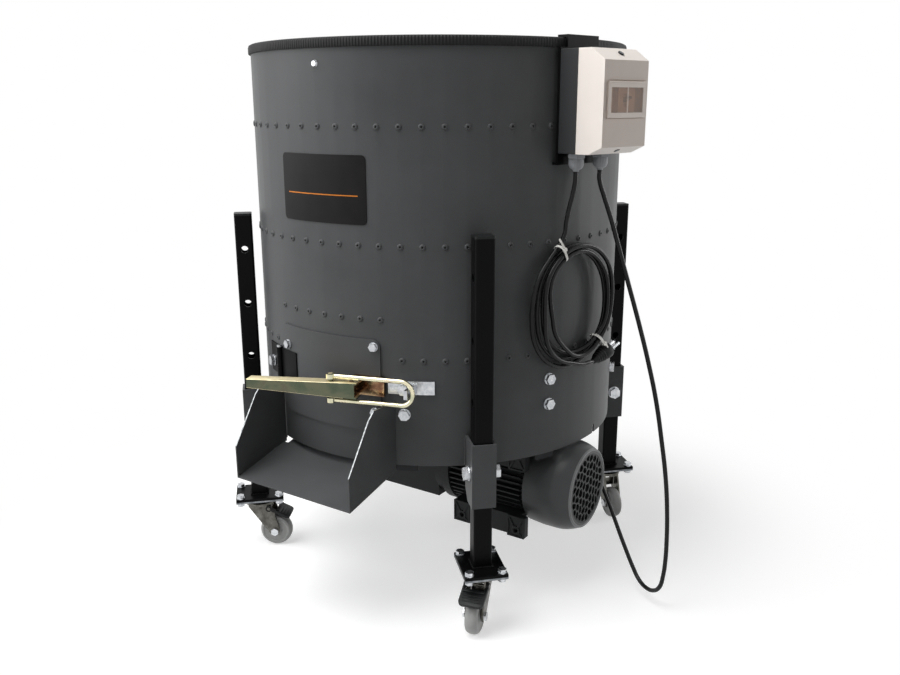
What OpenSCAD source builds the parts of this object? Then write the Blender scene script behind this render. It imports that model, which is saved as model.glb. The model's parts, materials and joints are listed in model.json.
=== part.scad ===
// Walnut huller: a riveted drum on four adjustable caster legs, with a side
// door and chute, and a worm-geared rotor disc driven by a motor underneath.
// The origin is on the floor under the drum's axis. The chute faces -Y.

/* [Drum] */
// Outer diameter of the drum wall
drum_d = 530; // [510:1:550]
// Thickness of the drum wall sheet
wall_t = 2; // [1.5:0.1:2.5]
// Height of the drum's bottom edge above the floor
skirt_z = 219; // [217:1:222]
// Height of the wall's top edge above the floor
rim_z = 753; // [740:1:780]
// Wall of the rubber trim on the rim
trim_t = 3; // [2:0.1:5]
// Height of the rubber trim
trim_h = 12; // [9:0.5:20]
// Width of the cable notch in the bottom edge
notch_w = 5; // [3:0.5:10]
// Height of the cable notch in the bottom edge
notch_h = 12; // [6:0.5:16]

/* [Rivets and lining] */
// Diameter of a blind rivet's head
rivet_head_d = 8.4; // [7:0.1:10]
// Height of a blind rivet's head
rivet_head_h = 1.8; // [1:0.1:2.4]
// Diameter of a blind rivet's shank
rivet_shank_d = 4; // [3:0.1:5]
// Angle between two rivets in a row, in degrees
rivet_pitch = 6; // [6, 9, 12]
// Height of the upper rivet row
upper_row_z = 652; // [640:1:690]
// Height of the middle rivet row
middle_row_z = 508; // [490:1:520]
// Height of the short rivet row over the door
door_row_z = 414; // [405:1:440]
// Height of the lower rivet row
lower_row_z = 362; // [358:1:375]
// Thickness of the rasp lining
lining_t = 1.2; // [0.8:0.1:2]
// How far the lining runs past its outer rivet rows
lining_margin = 10; // [8:0.5:14]
// Width of the blank name plate, along the wall
plate_w = 136; // [100:1:150]
// Height of the blank name plate
plate_h = 85; // [60:1:95]
// Thickness of the blank name plate
plate_t = 0.8; // [0.5:0.1:1.5]
// Height of the name plate's middle
plate_z = 576; // [570:1:590]

/* [Door] */
// Azimuth of the door's hinge edge, in degrees from the front
door_left_az = -20; // [-21:0.1:-19.5]
// Azimuth of the door's free edge, in degrees from the front
door_right_az = 18; // [17.5:0.1:18.5]
// Height of the door's bottom edge
door_z = 264; // [258:1:268]
// Height of the door panel
door_h = 124; // [118:1:128]
// Thickness of the door panel
door_t = 2; // [1.5:0.1:3]
// Corner radius of the door panel
door_corner_r = 10; // [4:0.5:20]
// How far the door laps over its opening
door_lap = 3.5; // [3:0.1:4]
// Length of the door hinge
hinge_h = 44; // [38:1:46]
// Diameter of the hinge pin
hinge_pin_d = 5; // [4:0.1:6]
// Outer diameter of the hinge knuckles
knuckle_d = 9; // [8.5:0.1:10]
// Thickness of the hinge leaves
leaf_t = 1.6; // [1.2:0.1:2]

/* [Latch] */
// Azimuth of the latch's mounting plane, in degrees from the front
latch_az = 14; // [13:0.1:15]
// Height of the latch's middle line
latch_z = 327; // [325:0.5:330]
// Length of the latch lever from its pivot to its tip
lever_len = 142; // [110:1:150]
// Height of the lever at its pivot
lever_h = 21; // [20:0.5:22]
// Height of the lever at its tip
lever_tip_h = 12; // [9:0.5:16]
// Depth of the lever's channel
lever_depth = 12; // [10:0.5:14]
// Sheet thickness of the lever
lever_t = 1.8; // [1.2:0.1:2.2]
// Distance between the lever's pivot and the hook's pin
hook_arm = 28; // [24:0.5:30]
// Length of the hook loop from its pin to its tip
hook_len = 110; // [106:1:113]
// Wire diameter of the hook loop
hook_wire_d = 6; // [5:0.1:6.5]
// Spacing of the hook's two strands
hook_gap = 32; // [31:0.5:34]

/* [Chute] */
// Outer width of the chute
chute_w = 198; // [192:1:200]
// Sheet thickness of the chute
chute_t = 2; // [1.5:0.1:3]
// Distance of the chute's front edge from the drum's axis
chute_reach = 343; // [320:1:370]
// Height of the chute floor's front edge
chute_front_z = 190; // [180:1:198]
// Height of the chute floor at the drum
chute_back_z = 213; // [205:0.5:214]
// Height of the side walls at the front edge
chute_front_h = 44; // [30:1:60]
// Height of the side walls' top edge at the drum
chute_top_z = 307; // [300:1:310]

/* [Legs] */
// Gap between the drum's wall and the leg tubes
leg_gap = 11.5; // [10.5:0.5:17]
// Width of the square leg tube
leg_w = 25; // [22:0.5:27]
// Wall of the leg tube
leg_t = 2; // [1.5:0.1:3]
// Height of the leg tube's top
leg_top_z = 523; // [500:1:560]
// Height of the top adjusting hole
hole_top_z = 474; // [465:1:480]
// Spacing of the adjusting holes
hole_pitch = 80; // [75:1:84]
// Diameter of the adjusting holes
hole_d = 10.5; // [9.5:0.1:12]
// Height of the bolt that holds the leg in its sleeve
leg_bolt_z = 218; // [212:1:224]
// Height of the leg sleeve
sleeve_h = 87; // [70:1:100]
// Sheet thickness of the leg sleeve
sleeve_t = 3; // [2:0.1:4]
// Radial length of the leg's base plate
foot_len = 72; // [68:1:80]
// Width of the leg's base plate
foot_w = 58; // [56:1:66]
// Thickness of the leg's base plate
foot_t = 4; // [3:0.5:6]
// Radial spacing of the base plate's bolts
foot_bolt_len = 58; // [54:0.5:60]
// Cross spacing of the base plate's bolts
foot_bolt_w = 44; // [42:0.5:46]

/* [Casters] */
// Height of the caster's mounting plate above the floor
caster_h = 84; // [80:0.5:92]
// Diameter of the caster wheel
wheel_d = 50; // [46:0.5:54]
// Width of the caster wheel
wheel_w = 18; // [14:0.5:20]
// Trail of the wheel behind the swivel axis
caster_trail = 24; // [20:0.5:28]
// Diameter of the wheel axle
axle_d = 8; // [6:0.1:9]
// Diameter of the swivel head
swivel_d = 44; // [40:0.5:46]
// Width of the brake pedal
pedal_w = 34; // [28:0.5:38]
// Length of the brake pedal
pedal_len = 30; // [24:0.5:36]

/* [Drive] */
// Height of the motor's axis above the floor
motor_z = 152; // [150:0.5:153]
// Sideways offset of the worm from the drum's axis
worm_offset = 40; // [38:0.5:42]
// Distance of the fan cowl's end from the drum's axis
cowl_end_x = 280; // [275:1:290]
// Largest radius of the fan cowl
cowl_r = 65; // [62:0.5:66]
// Radius of the fan cowl's end face
cowl_face_r = 55; // [50:0.5:58]
// Radius of the motor frame over its fins
motor_r = 60; // [56:0.5:61]
// Spacing of the motor's foot holes along its axis
foot_b = 90; // [80:0.5:95]
// Spacing of the motor's foot holes across its axis
foot_a = 112; // [108:0.5:113]
// Distance of the motor's foot plane from its axis
foot_h = 71; // [68:0.5:75]
// Diameter of the motor's foot holes
foot_hole_d = 7; // [6:0.1:9]
// Radius of the rotor disc
disc_r = 246; // [225:1:247]
// Thickness of the rotor disc
disc_t = 5; // [3:0.5:8]
// Height of the rotor disc's top face
disc_z = 276; // [272:0.5:277]
// Height of the vanes on the rotor disc
vane_h = 18; // [10:0.5:30]
// Diameter of the rotor shaft
shaft_d = 25; // [20:0.5:30]

/* [Switch box] */
// Azimuth of the switch box, in degrees from the front
box_az = 75.5; // [74:0.5:77]
// Width of the switch box
box_w = 84; // [80:0.5:90]
// Height of the switch box
box_h = 123; // [115:0.5:126]
// Height of the switch box's bottom face
box_z = 619; // [617:0.5:621]
// Depth of the dark base shell
box_base_d = 28; // [26:0.5:34]
// Depth of the whole box
box_d = 68; // [64:0.5:76]
// Wall of the box shells
box_t = 2.4; // [1.8:0.1:3]

/* [Cords] */
// Diameter of the supply cord and the motor cord
cord_d = 6; // [5:0.1:7]
// Outer half width of the hung cord coil
coil_r = 82; // [78:0.5:86]
// Width of the coil's winding, from inside to outside
coil_build = 30; // [24:0.5:34]
// Depth of the coil from the wall outwards
coil_depth = 18; // [16:0.5:20]

/* [Hidden] */
$fn = 48;

// How far a cut runs past the face it opens
overrun = 1;
// Gap left where two seated faces would otherwise share a curve
seat_gap = 0.2;
// Gap between parts that move past each other
play = 0.4;
// Radial running fit of pins and shafts in their bores
run_fit = 0.05;

drum_r = drum_d / 2;
inner_r = drum_r - wall_t;
trim_out_r = drum_r + seat_gap + trim_t;
trim_in_r = inner_r - seat_gap - trim_t;
trim_top_z = rim_z + seat_gap + trim_t;

// Rivets and lining
rivet_count = floor(360 / rivet_pitch);
rivet_hole_d = rivet_shank_d + seat_gap;
rivet_recess_d = rivet_shank_d * 0.55;
rivet_recess_h = rivet_head_h * 0.6;
rivet_tail_d = rivet_shank_d * 1.5;
rivet_tail_h = rivet_shank_d * 0.6;
low_row_gap = 24;
door_row_reach = 18;
full_row = [for (i = [0 : rivet_count - 1]) i * rivet_pitch];
door_row = [for (a = full_row) if (a <= door_row_reach || a >= 360 - door_row_reach) a];
lower_row = [for (a = full_row) if (a >= low_row_gap && a <= 360 - low_row_gap) a];
lining_out_r = inner_r - seat_gap;
lining_in_r = lining_out_r - lining_t;
lining_front_az = 21;
plate_r = drum_r + seat_gap;
plate_corner_r = plate_h * 0.07;

// Bolts in pairs round the lower wall hold the hanger straps
hanger_count = 8;
hanger_step = 360 / hanger_count;
hanger_w = 30;
hanger_t = 4;
hanger_top_z = 342;
hanger_low_z = 210;
hanger_tab_len = 42;
hanger_face = sqrt(inner_r * inner_r - hanger_w * hanger_w / 4) - seat_gap;
hanger_in = hanger_face - hanger_t;
wall_bolt_zs = [290, 325];
wall_bolt_d = 8;
bolt_hole_d = wall_bolt_d + play;
bolt_af = 13;
bolt_head_h = 5.3;
nut_h = 6.5;
washer_d = 16;
washer_t = 1.6;
rim_screw_z = 726;
rim_screw_d = 5;

// Door
door_r0 = drum_r + play;
door_r1 = door_r0 + door_t;
lap_az = door_lap / drum_r * 180 / PI;
open_az0 = door_left_az + lap_az;
open_az1 = door_right_az - lap_az;
open_z0 = door_z + door_lap;
open_z1 = door_z + door_h - door_lap;
backing_gap = 1.2;
backing_gap_az = backing_gap / inner_r * 180 / PI;
backing_r0 = inner_r - wall_t / 2;
door_bolt_inset = 9;
door_bolt_low = 27;
door_bolt_left = 18.5;
door_bolt_d = 6;
door_bolt_af = 10;
door_bolt_head_h = 4;
door_bolt_right_az = door_right_az - door_bolt_inset / drum_r * 180 / PI;
door_bolt_left_az = door_left_az + door_bolt_left / drum_r * 180 / PI;
door_bolt_places = [
    [door_bolt_right_az, door_z + door_bolt_low],
    [door_bolt_right_az, door_z + door_h - door_bolt_inset],
    [door_bolt_left_az, door_z + door_h - door_bolt_low]
];
hinge_clear = 1;
hinge_z = chute_top_z + hinge_clear + hinge_h / 2;
hinge_reach_az = 9;
hinge_r = drum_r + seat_gap + play + knuckle_d / 2;
hinge_az = door_left_az - (knuckle_d / 2 + play) / drum_r * 180 / PI;
hinge_bolt_az = hinge_az - 6.5;
hinge_bore_d = hinge_pin_d + 2 * run_fit;
knuckle_share = 1 / 3;
hinge_wall_r = drum_r + seat_gap;
hinge_door_r = door_r1 + seat_gap;
leaf_gap_az = (knuckle_d / 2 + play) / drum_r * 180 / PI;
hinge_pin_head_d = hinge_pin_d * 1.5;
hinge_pin_head_h = hinge_pin_d * 0.5;

// The two front hangers move over: their upper bolts hold the catch and the hinge
catch_bolt_az = 24.5;
hanger_azs = concat(
    [catch_bolt_az, hinge_bolt_az], [for (i = [1 : hanger_count - 2]) (i + 0.5) * hanger_step]
);

// Latch, drawn in its own plane: x along the wall, y up, z outwards
latch_pivot_x = -12;
latch_pivot_rise = 20;
latch_pin_d = 6;
latch_face = door_r1;
base_t = 3;
base_len = 42;
base_h = 26;
ear_t = 2.4;
lever_rest_angle = 6;
lever_boss_r = 9;
ear_r = (lever_boss_r - lever_t) * cos(lever_rest_angle) - lever_boss_r * sin(lever_rest_angle) - play;
hook_lean = 4;
lever_in_h = lever_h - 2 * lever_t;
ear_out = lever_in_h / 2 - play;
hook_eye_r = hook_wire_d;
hook_pin_len = hook_gap + hook_wire_d + 2 * play;
hook_tip_r = hook_gap / 2;
catch_t = 3;
catch_h = 18;
catch_neck_t = 5;
catch_neck_h = 12;
catch_rake = 2;
catch_az0 = 20;
catch_az1 = 33;
latch_pivot_z = base_t + latch_pivot_rise;
hook_x = latch_pivot_x - hook_arm * cos(lever_rest_angle);
hook_z = latch_pivot_z + hook_arm * sin(lever_rest_angle);
hook_tip_x = hook_x + hook_len * cos(hook_lean);
hook_tip_z = hook_z - hook_len * sin(hook_lean);

// Chute
chute_back_y = 237;
chute_notch_y = 253;
chute_in = chute_w / 2 - chute_t;
chute_tongue_inset = 8;
chute_tongue_x = chute_in - chute_tongue_inset;
chute_side_y = sqrt(drum_r * drum_r - chute_in * chute_in) + play;
chute_shoulder_share = 0.57;
chute_lip_share = 0.86;

// Legs
leg_azs = [45, -45, 135, -135];
leg_fit = 0.5;
leg_corner_r = 3;
leg_cap_h = 3;
leg_cap_depth = 12;
leg_r = drum_r + leg_gap + leg_w / 2;
foot_z = caster_h;
leg_foot_z = foot_z + foot_t;
sleeve_in = leg_w / 2 + leg_fit;
sleeve_out = sleeve_in + sleeve_t;
sleeve_z0 = leg_bolt_z - sleeve_h / 2;
sleeve_bevel = 14;
leg_bolt_d = hole_d - leg_fit;
leg_bolt_af = 16;
leg_bolt_head_h = 6.4;
leg_nut_h = 8;
foot_bolt_d = 6;
foot_bolt_af = 10;
foot_bolt_head_h = 4;
foot_nut_h = 5;

// Casters
caster_plate_t = 3;
race_h = 6;
race_gap = 0.5;
crown_t = 4;
caster_plate_z = caster_h - caster_plate_t;
crown_top_z = caster_plate_z - race_h - race_gap;
crown_z = crown_top_z - crown_t;
cheek_t = 2.5;
cheek_gap = 1.5;
cheek_x = wheel_w / 2 + cheek_gap;
axle_head_d = axle_d * 1.6;
axle_head_h = 3;
axle_boss_r = axle_d;
king_d = 12;
king_head_d = 18;
caster_yaws = [-30, 165, -85, 60];
pedal_t = 5;
pedal_pin_d = 5;
pedal_pivot_y = swivel_d / 2 - pedal_pin_d;
pedal_drop = 25;
pedal_z = crown_z - pedal_pin_d;

// Drive
frame_bar = 20;
frame_z = 222;
frame_end_gap = 12;
frame_offset = hanger_in * sin(hanger_step / 2);
frame_side = (frame_offset + frame_bar / 2) * sin(hanger_step / 2);
frame_reach = (hanger_in - frame_end_gap - frame_side) / cos(hanger_step / 2);
gear_plate_x = 68;
gear_plate_t = 6;
gear_plate_z = frame_z - gear_plate_t;
gear_half_x = 56;
gear_half_z = 52;
gear_front_y = worm_offset + 44;
gear_back_y = 60;
gear_flange_r = 66;
gear_flange_t = gear_plate_z - motor_z - gear_half_z;
wheel_cavity_r = 36;
wheel_cavity_h = 60;
worm_cavity_r = 15;
worm_cavity_x = 44;
worm_r = 9;
worm_d = 14;
gear_wheel_r = worm_offset - worm_r - play;
gear_wheel_h = 24;
worm_end_x = 52;
worm_tip_x = 70;
input_flange_r = 56;
shaft_low_z = motor_z - gear_half_z + play;
hub_r = 32;
hub_h = 26;
disc_low_z = disc_z - disc_t;
vane_t = 10;
vane_count = 4;
vane_in = 60;
vane_out_gap = 16;
cone_r = 42;
cone_h = 26;
cone_top_r = 14;
motor_front_x = 70;
motor_flange_r = 62;
motor_flange_t = 14;
motor_back_x = 213;
motor_core_r = 51;
motor_bore_r = 44;
motor_wall = 10;
fin_count = 44;
fin_t = 2.2;
motor_shaft_d = 14;
rotor_core_r = 30;
rotor_core_len = 70;
fan_r = 46;
fan_t = 3;
fan_blades = 8;
fan_blade_h = 16;
fan_hub_r = 13;
fan_x = motor_back_x + 22;
foot_margin = 9.5;
foot_pad = 14;
foot_rail_t = 10;
foot_rail_h = 30;
foot_web_t = 8;
foot_pocket = 3;
foot_mid_x = 160;
cowl_t = 2.5;
cowl_x0 = motor_back_x - 4;
cowl_lip_r = motor_r + 3;
cowl_nose = 26;
grille_hole = 9;
grille_pitch = 10.6;
grille_rows = 4;
grille_margin = 5;
term_x0 = 118;
term_len = 76;
term_h = 70;
term_d = 46;
term_lid_t = 8;
term_y0 = motor_core_r + 6 - worm_offset;

// Switch box, drawn in its own plane: x along the wall, y up, z outwards
bracket_t = 3;
bracket_face = trim_out_r + seat_gap;
bracket_front = bracket_face + bracket_t;
bracket_low_z = 605;
hook_w = 58;
hook_drop = 22;
hook_in = sqrt(trim_in_r * trim_in_r - hook_w * hook_w / 4) - seat_gap;
bevel_d = 20;
bevel_top = 14;
bevel_low = 9;
flap_w = 71;
flap_h = 41;
flap_low = 43;
flap_t = 3;
window_w = 66;
window_h = 32;
flap_pin_d = 2.4;
starter_w = 54;
starter_h = 29;
starter_gap = 6;
toggle_x = 9;
toggle_w = 9;
toggle_len = 15;
toggle_pin_d = 3;
toggle_rest = 20;
gland_x = 23.5;
gland_depth = 14.5;
gland_hex_af = 22;
gland_hex_h = 6;
gland_cap_d = 19;
gland_h = 22;
gland_stub = 5;
gland_thread_d = 16;

// Cord routes, as points from the exit onwards
coil_az = 75.5;
coil_mid_x = -3;
coil_mid_z = 425;
coil_straight = 8;
coil_face = drum_r + rivet_head_h + 2 * seat_gap;
tie_w = 4;
tie_t = 1.2;
tie_angles = [118, -46];
cord_sides = 10;
cord_steps = 3;
plug_len = 34;
plug_d = 22;
plug_pin_d = 4;
plug_pin_len = 19;
plug_pin_gap = 9.5;
plug_x = 36;
plug_z = 338;
plug_tilt = 20;
gland_r = bracket_front + gland_depth;
gland_end_z = box_z - gland_h;
term_gland_y = 47;
term_gland_z = 146;

// A point on the switch box's side: along the wall, out from the axis, up
function box_point(x, r, z) =
    [r * sin(box_az) + x * cos(box_az), x * sin(box_az) - r * cos(box_az), z];

lead_route = [
    box_point(-gland_x, gland_r, gland_end_z), box_point(-gland_x, gland_r, 588),
    box_point(-24, drum_r + 19, 574), box_point(-25, drum_r + 16, 560),
    box_point(-26, drum_r + 13, 546), box_point(-27, drum_r + 11, 532),
    box_point(-28, drum_r + 10, 518), box_point(-30, drum_r + 9, 504)
];
motor_exit = box_point(gland_x, gland_r, gland_end_z);
motor_route = [
    motor_exit, motor_exit - [0, 0, 12], [290, -49, 564], [301, -49, 536], [314, -49, 498],
    [330, -48, 450], [347, -48, 400], [362, -48, 352], [375, -48, 304], [386, -48, 250],
    [395, -48, 198], [400, -48, 150], [402, -48, 108], [402, -48, 78], [400, -47.5, 54],
    [395.5, -45, 36], [385.5, -39, 24], [371, -30.5, 19.5], [356.5, -22, 24], [344, -14.5, 36],
    [331, -7, 52], [317, 1.5, 70], [302, 11, 90], [286, 21.5, 110], [268, 33, 129],
    [250, 43, 141.5], [232, term_gland_y, term_gland_z],
    [term_x0 + term_len + gland_h, term_gland_y, term_gland_z]
];

// Children are drawn with x along the wall, -y outwards and z up
module at_az(az, r, z) {
    rotate([0, 0, az])
        translate([0, -r, z])
            children();
}

// Children are drawn with x along the wall, y up and z outwards
module face_az(az, r, z) {
    at_az(az, r, z)
        rotate([90, 0, 0])
            children();
}

// Children are drawn with their z along +X
module along_x(x, y, z) {
    translate([x, y, z])
        rotate([0, 90, 0])
            children();
}

// A stretch of a round wall between two azimuths
module band(r_in, r_out, z0, z1, az0, az1) {
    rotate([0, 0, az0 - 90])
        rotate_extrude(angle = az1 - az0, $fn = 96)
            translate([r_in, z0])
                square([r_out - r_in, z1 - z0]);
}

module ring(r_in, r_out, z0, z1) {
    rotate_extrude($fn = 120)
        translate([r_in, z0])
            square([r_out - r_in, z1 - z0]);
}

module rounded_rect(w, h, r) {
    square([w - 2 * r, h], center = true);
    square([w, h - 2 * r], center = true);
    for (sx = [-1, 1], sy = [-1, 1])
        translate([sx * (w / 2 - r), sy * (h / 2 - r)])
            circle(r = r, $fn = 32);
}

// A hex bolt with a washer: the head stands on z = 0 and the shank goes down
module hex_bolt(d, af, head_h, length) {
    cylinder(d = af / cos(30), h = washer_t + head_h, $fn = 6);
    cylinder(d = af * washer_d / bolt_af, h = washer_t);
    translate([0, 0, -length])
        cylinder(d = d, h = length + washer_t);
}

module hex_nut(d, af, h) {
    cylinder(d = af / cos(30), h = h, $fn = 6);
}

module rivet(grip) {
    rotate_extrude($fn = 24)
        polygon([
            [0, -grip - rivet_tail_h], [rivet_tail_d / 2, -grip - rivet_tail_h],
            [rivet_tail_d / 2, -grip], [rivet_shank_d / 2, -grip], [rivet_shank_d / 2, 0],
            [rivet_head_d / 2, 0], [rivet_head_d / 2, rivet_head_h * 0.4],
            [rivet_head_d / 2 * 0.78, rivet_head_h], [rivet_recess_d / 2, rivet_head_h],
            [rivet_recess_d / 2, rivet_head_h - rivet_recess_h],
            [0, rivet_head_h - rivet_recess_h]
        ]);
}

module rivet_row(azs, z) {
    for (az = azs)
        face_az(az, drum_r, z)
            rivet(drum_r - lining_in_r + seat_gap / 2);
}

module rivet_holes(azs, z) {
    for (az = azs)
        face_az(az, lining_in_r - overrun, z)
            cylinder(d = rivet_hole_d, h = drum_r - lining_in_r + 2 * overrun, $fn = 24);
}

module all_rivet_holes() {
    rivet_holes(full_row, upper_row_z);
    rivet_holes(full_row, middle_row_z);
    rivet_holes(door_row, door_row_z);
    rivet_holes(lower_row, lower_row_z);
}

module hanger_bolt_holes() {
    for (az = hanger_azs, z = wall_bolt_zs)
        face_az(az, hanger_in - overrun, z)
            cylinder(d = bolt_hole_d, h = drum_r - hanger_in + catch_t + 3 * overrun);
}

// The radius a wall bolt's head stands on: the wall, the catch or the hinge leaf
function bolt_seat(az, z) =
    z != wall_bolt_zs[1] ? drum_r
    : az == catch_bolt_az ? drum_r + seat_gap + catch_t
    : az == hinge_bolt_az ? hinge_wall_r + leaf_t
    : drum_r;

module drum_shell() {
    color("#5b5d5e")
        difference() {
            ring(inner_r, drum_r, skirt_z, rim_z);
            band(inner_r - overrun, drum_r + overrun, open_z0, open_z1, open_az0, open_az1);
            all_rivet_holes();
            hanger_bolt_holes();
            face_az(0, inner_r - overrun, rim_screw_z)
                cylinder(d = rim_screw_d + play, h = wall_t + 2 * overrun);
            at_az(91, drum_r + overrun, skirt_z - overrun)
                translate([-notch_w / 2, 0, 0])
                    cube([notch_w, wall_t + 3 * overrun, notch_h + overrun]);
        }
}

module rim_trim() {
    low_z = trim_top_z - trim_h;
    color("#1d1d1e")
        rotate_extrude($fn = 120)
            polygon([
                [trim_in_r, low_z], [trim_in_r, trim_top_z], [trim_out_r, trim_top_z],
                [trim_out_r, low_z], [drum_r + seat_gap, low_z],
                [drum_r + seat_gap, rim_z + seat_gap], [inner_r - seat_gap, rim_z + seat_gap],
                [inner_r - seat_gap, low_z]
            ]);
}

module rasp_lining() {
    color("#8f9294")
        difference() {
            ring(lining_in_r, lining_out_r, lower_row_z - lining_margin, upper_row_z + lining_margin);
            band(
                lining_in_r - overrun, lining_out_r + overrun,
                lower_row_z - lining_margin - overrun, door_row_z - lining_margin,
                -lining_front_az, lining_front_az
            );
            all_rivet_holes();
        }
}

module ring_rivets() {
    color("#4c4e50") {
        rivet_row(full_row, upper_row_z);
        rivet_row(full_row, middle_row_z);
    }
}

module lower_rivets() {
    color("#4c4e50") {
        rivet_row(door_row, door_row_z);
        rivet_row(lower_row, lower_row_z);
    }
}

module wall_bolts() {
    color("#c9cbcd") {
        for (az = hanger_azs, z = wall_bolt_zs) {
            seat = bolt_seat(az, z);
            face_az(az, seat, z) {
                hex_bolt(wall_bolt_d, bolt_af, bolt_head_h, seat - hanger_in);
                translate([0, 0, hanger_in - seat - nut_h])
                    hex_nut(wall_bolt_d, bolt_af, nut_h);
            }
        }
        face_az(0, drum_r, rim_screw_z) {
            translate([0, 0, -wall_t])
                cylinder(d = rim_screw_d, h = wall_t);
            cylinder(d1 = rim_screw_d * 1.8, d2 = rim_screw_d * 1.3, h = rim_screw_d / 2);
        }
    }
}

module name_plate() {
    color("#17181a")
        intersection() {
            ring(plate_r, plate_r + plate_t, plate_z - plate_h, plate_z + plate_h);
            face_az(0, drum_r / 2, plate_z)
                linear_extrude(height = drum_r)
                    rounded_rect(plate_w, plate_h, plate_corner_r);
        }
}

module door_panel() {
    mid_az = (door_left_az + door_right_az) / 2;
    width = 2 * drum_r * sin((door_right_az - door_left_az) / 2);
    color("#5b5d5e")
        difference() {
            intersection() {
                ring(door_r0, door_r1, door_z - overrun, door_z + door_h + overrun);
                face_az(mid_az, drum_r / 2, door_z + door_h / 2)
                    linear_extrude(height = drum_r)
                        rounded_rect(width, door_h, door_corner_r);
            }
            door_bolt_holes();
        }
}

module door_bolt_holes() {
    for (p = door_bolt_places)
        face_az(p[0], backing_r0 - overrun, p[1])
            cylinder(d = door_bolt_d + play, h = door_r1 - backing_r0 + 2 * overrun);
}

module door_backing() {
    color("#7d8082")
        difference() {
            band(
                backing_r0, door_r0 - seat_gap, open_z0 + backing_gap, open_z1 - backing_gap,
                open_az0 + backing_gap_az, open_az1 - backing_gap_az
            );
            door_bolt_holes();
        }
}

module door_bolts() {
    color("#c9cbcd")
        for (p = door_bolt_places)
            face_az(p[0], door_r1, p[1])
                hex_bolt(door_bolt_d, door_bolt_af, door_bolt_head_h, door_r1 - backing_r0);
}

// The strips of a leaf that make way for the other leaf's knuckles, counted from the bottom
module leaf_cut(index) {
    length = hinge_h * knuckle_share;
    low_z = hinge_z - hinge_h / 2 + index * length;
    band(
        drum_r - overrun, hinge_r + knuckle_d, low_z - play / 2, low_z + length + play / 2,
        hinge_az - leaf_gap_az, hinge_az + leaf_gap_az
    );
}

// A leaf with its knuckles, before the other leaf's strips are cut away
module hinge_leaf(r_in, az0, az1) {
    low_z = hinge_z - hinge_h / 2 + play / 2;
    difference() {
        union() {
            at_az(hinge_az, hinge_r, low_z)
                cylinder(d = knuckle_d, h = hinge_h - play);
            band(r_in, r_in + leaf_t, low_z + play, low_z + hinge_h - 2 * play, az0, az1);
        }
        at_az(hinge_az, hinge_r, hinge_z - hinge_h)
            cylinder(d = hinge_bore_d, h = 2 * hinge_h);
    }
}

module hinge_wall_leaf() {
    color("#3c3d3f")
        difference() {
            hinge_leaf(hinge_wall_r, hinge_az - hinge_reach_az, hinge_az);
            leaf_cut(1);
            hanger_bolt_holes();
        }
}

module hinge_door_leaf() {
    color("#3c3d3f")
        difference() {
            hinge_leaf(hinge_door_r, hinge_az, hinge_az + hinge_reach_az);
            leaf_cut(0);
            leaf_cut(2);
        }
}

module hinge_pin() {
    color("#c9cbcd")
        at_az(hinge_az, hinge_r, hinge_z - hinge_h / 2) {
            cylinder(d = hinge_pin_d, h = hinge_h + play);
            translate([0, 0, hinge_h + play / 2])
                cylinder(d = hinge_pin_head_d, h = hinge_pin_head_h);
        }
}

module latch_plane() {
    face_az(latch_az, latch_face, latch_z)
        children();
}

// An upright cylinder in the latch's plane
module latch_pin_at(x, z, d, length) {
    translate([x, 0, z])
        rotate([90, 0, 0])
            cylinder(d = d, h = length, center = true);
}

module latch_base() {
    ear_low = ear_out - ear_t;
    color("#c8a24a")
        latch_plane()
            difference() {
                union() {
                    translate([latch_pivot_x - ear_r, -base_h / 2, -base_t])
                        cube([base_len, base_h, 2 * base_t]);
                    for (sy = [-1, 1])
                        translate([0, sy * (ear_low + ear_t / 2), 0])
                            rotate([90, 0, 0])
                                linear_extrude(height = ear_t, center = true) {
                                    translate([latch_pivot_x, latch_pivot_z])
                                        circle(r = ear_r);
                                    translate([latch_pivot_x - ear_r, base_t / 2])
                                        square([2 * ear_r, latch_pivot_z - base_t / 2]);
                                }
                    latch_pin_at(latch_pivot_x, latch_pivot_z, latch_pin_d, lever_h + 2 * play);
                }
                translate([0, 0, -latch_face])
                    rotate([90, 0, 0])
                        cylinder(r = door_r1, h = 2 * base_h, center = true, $fn = 360);
            }
}

// The lever's side outline: x from the pivot towards the tip
module lever_outline(inset) {
    polygon([
        [lever_boss_r - inset, lever_h / 2 - inset], [-lever_boss_r, lever_h / 2 - inset],
        [-lever_len + inset, lever_tip_h / 2 - inset],
        [-lever_len + inset, inset - lever_tip_h / 2],
        [-lever_boss_r, inset - lever_h / 2], [lever_boss_r - inset, inset - lever_h / 2]
    ]);
}

module latch_lever() {
    web_z = lever_boss_r;
    color("#d6b45c")
        latch_plane()
            translate([latch_pivot_x, 0, latch_pivot_z])
                rotate([0, lever_rest_angle, 0])
                    difference() {
                        union() {
                            difference() {
                                translate([0, 0, web_z - lever_depth - lever_boss_r / 2])
                                    linear_extrude(height = lever_depth + lever_boss_r / 2)
                                        lever_outline(0);
                                translate([0, 0, web_z - lever_depth - lever_boss_r / 2 - overrun])
                                    linear_extrude(height = lever_depth + lever_boss_r / 2 - lever_t + overrun)
                                        lever_outline(lever_t);
                                translate([lever_boss_r - lever_t - overrun, -lever_in_h / 2, -lever_h])
                                    cube([lever_h, lever_in_h, 2 * lever_h]);
                            }
                            latch_pin_at(-hook_arm, 0, latch_pin_d, hook_pin_len);
                        }
                        latch_pin_at(0, 0, latch_pin_d + 2 * run_fit, 2 * lever_h);
                    }
}

// Children are drawn with their x from the hook's pin to its tip
module hook_frame() {
    latch_plane()
        translate([hook_x, 0, hook_z])
            rotate([0, hook_lean, 0])
                children();
}

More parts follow.
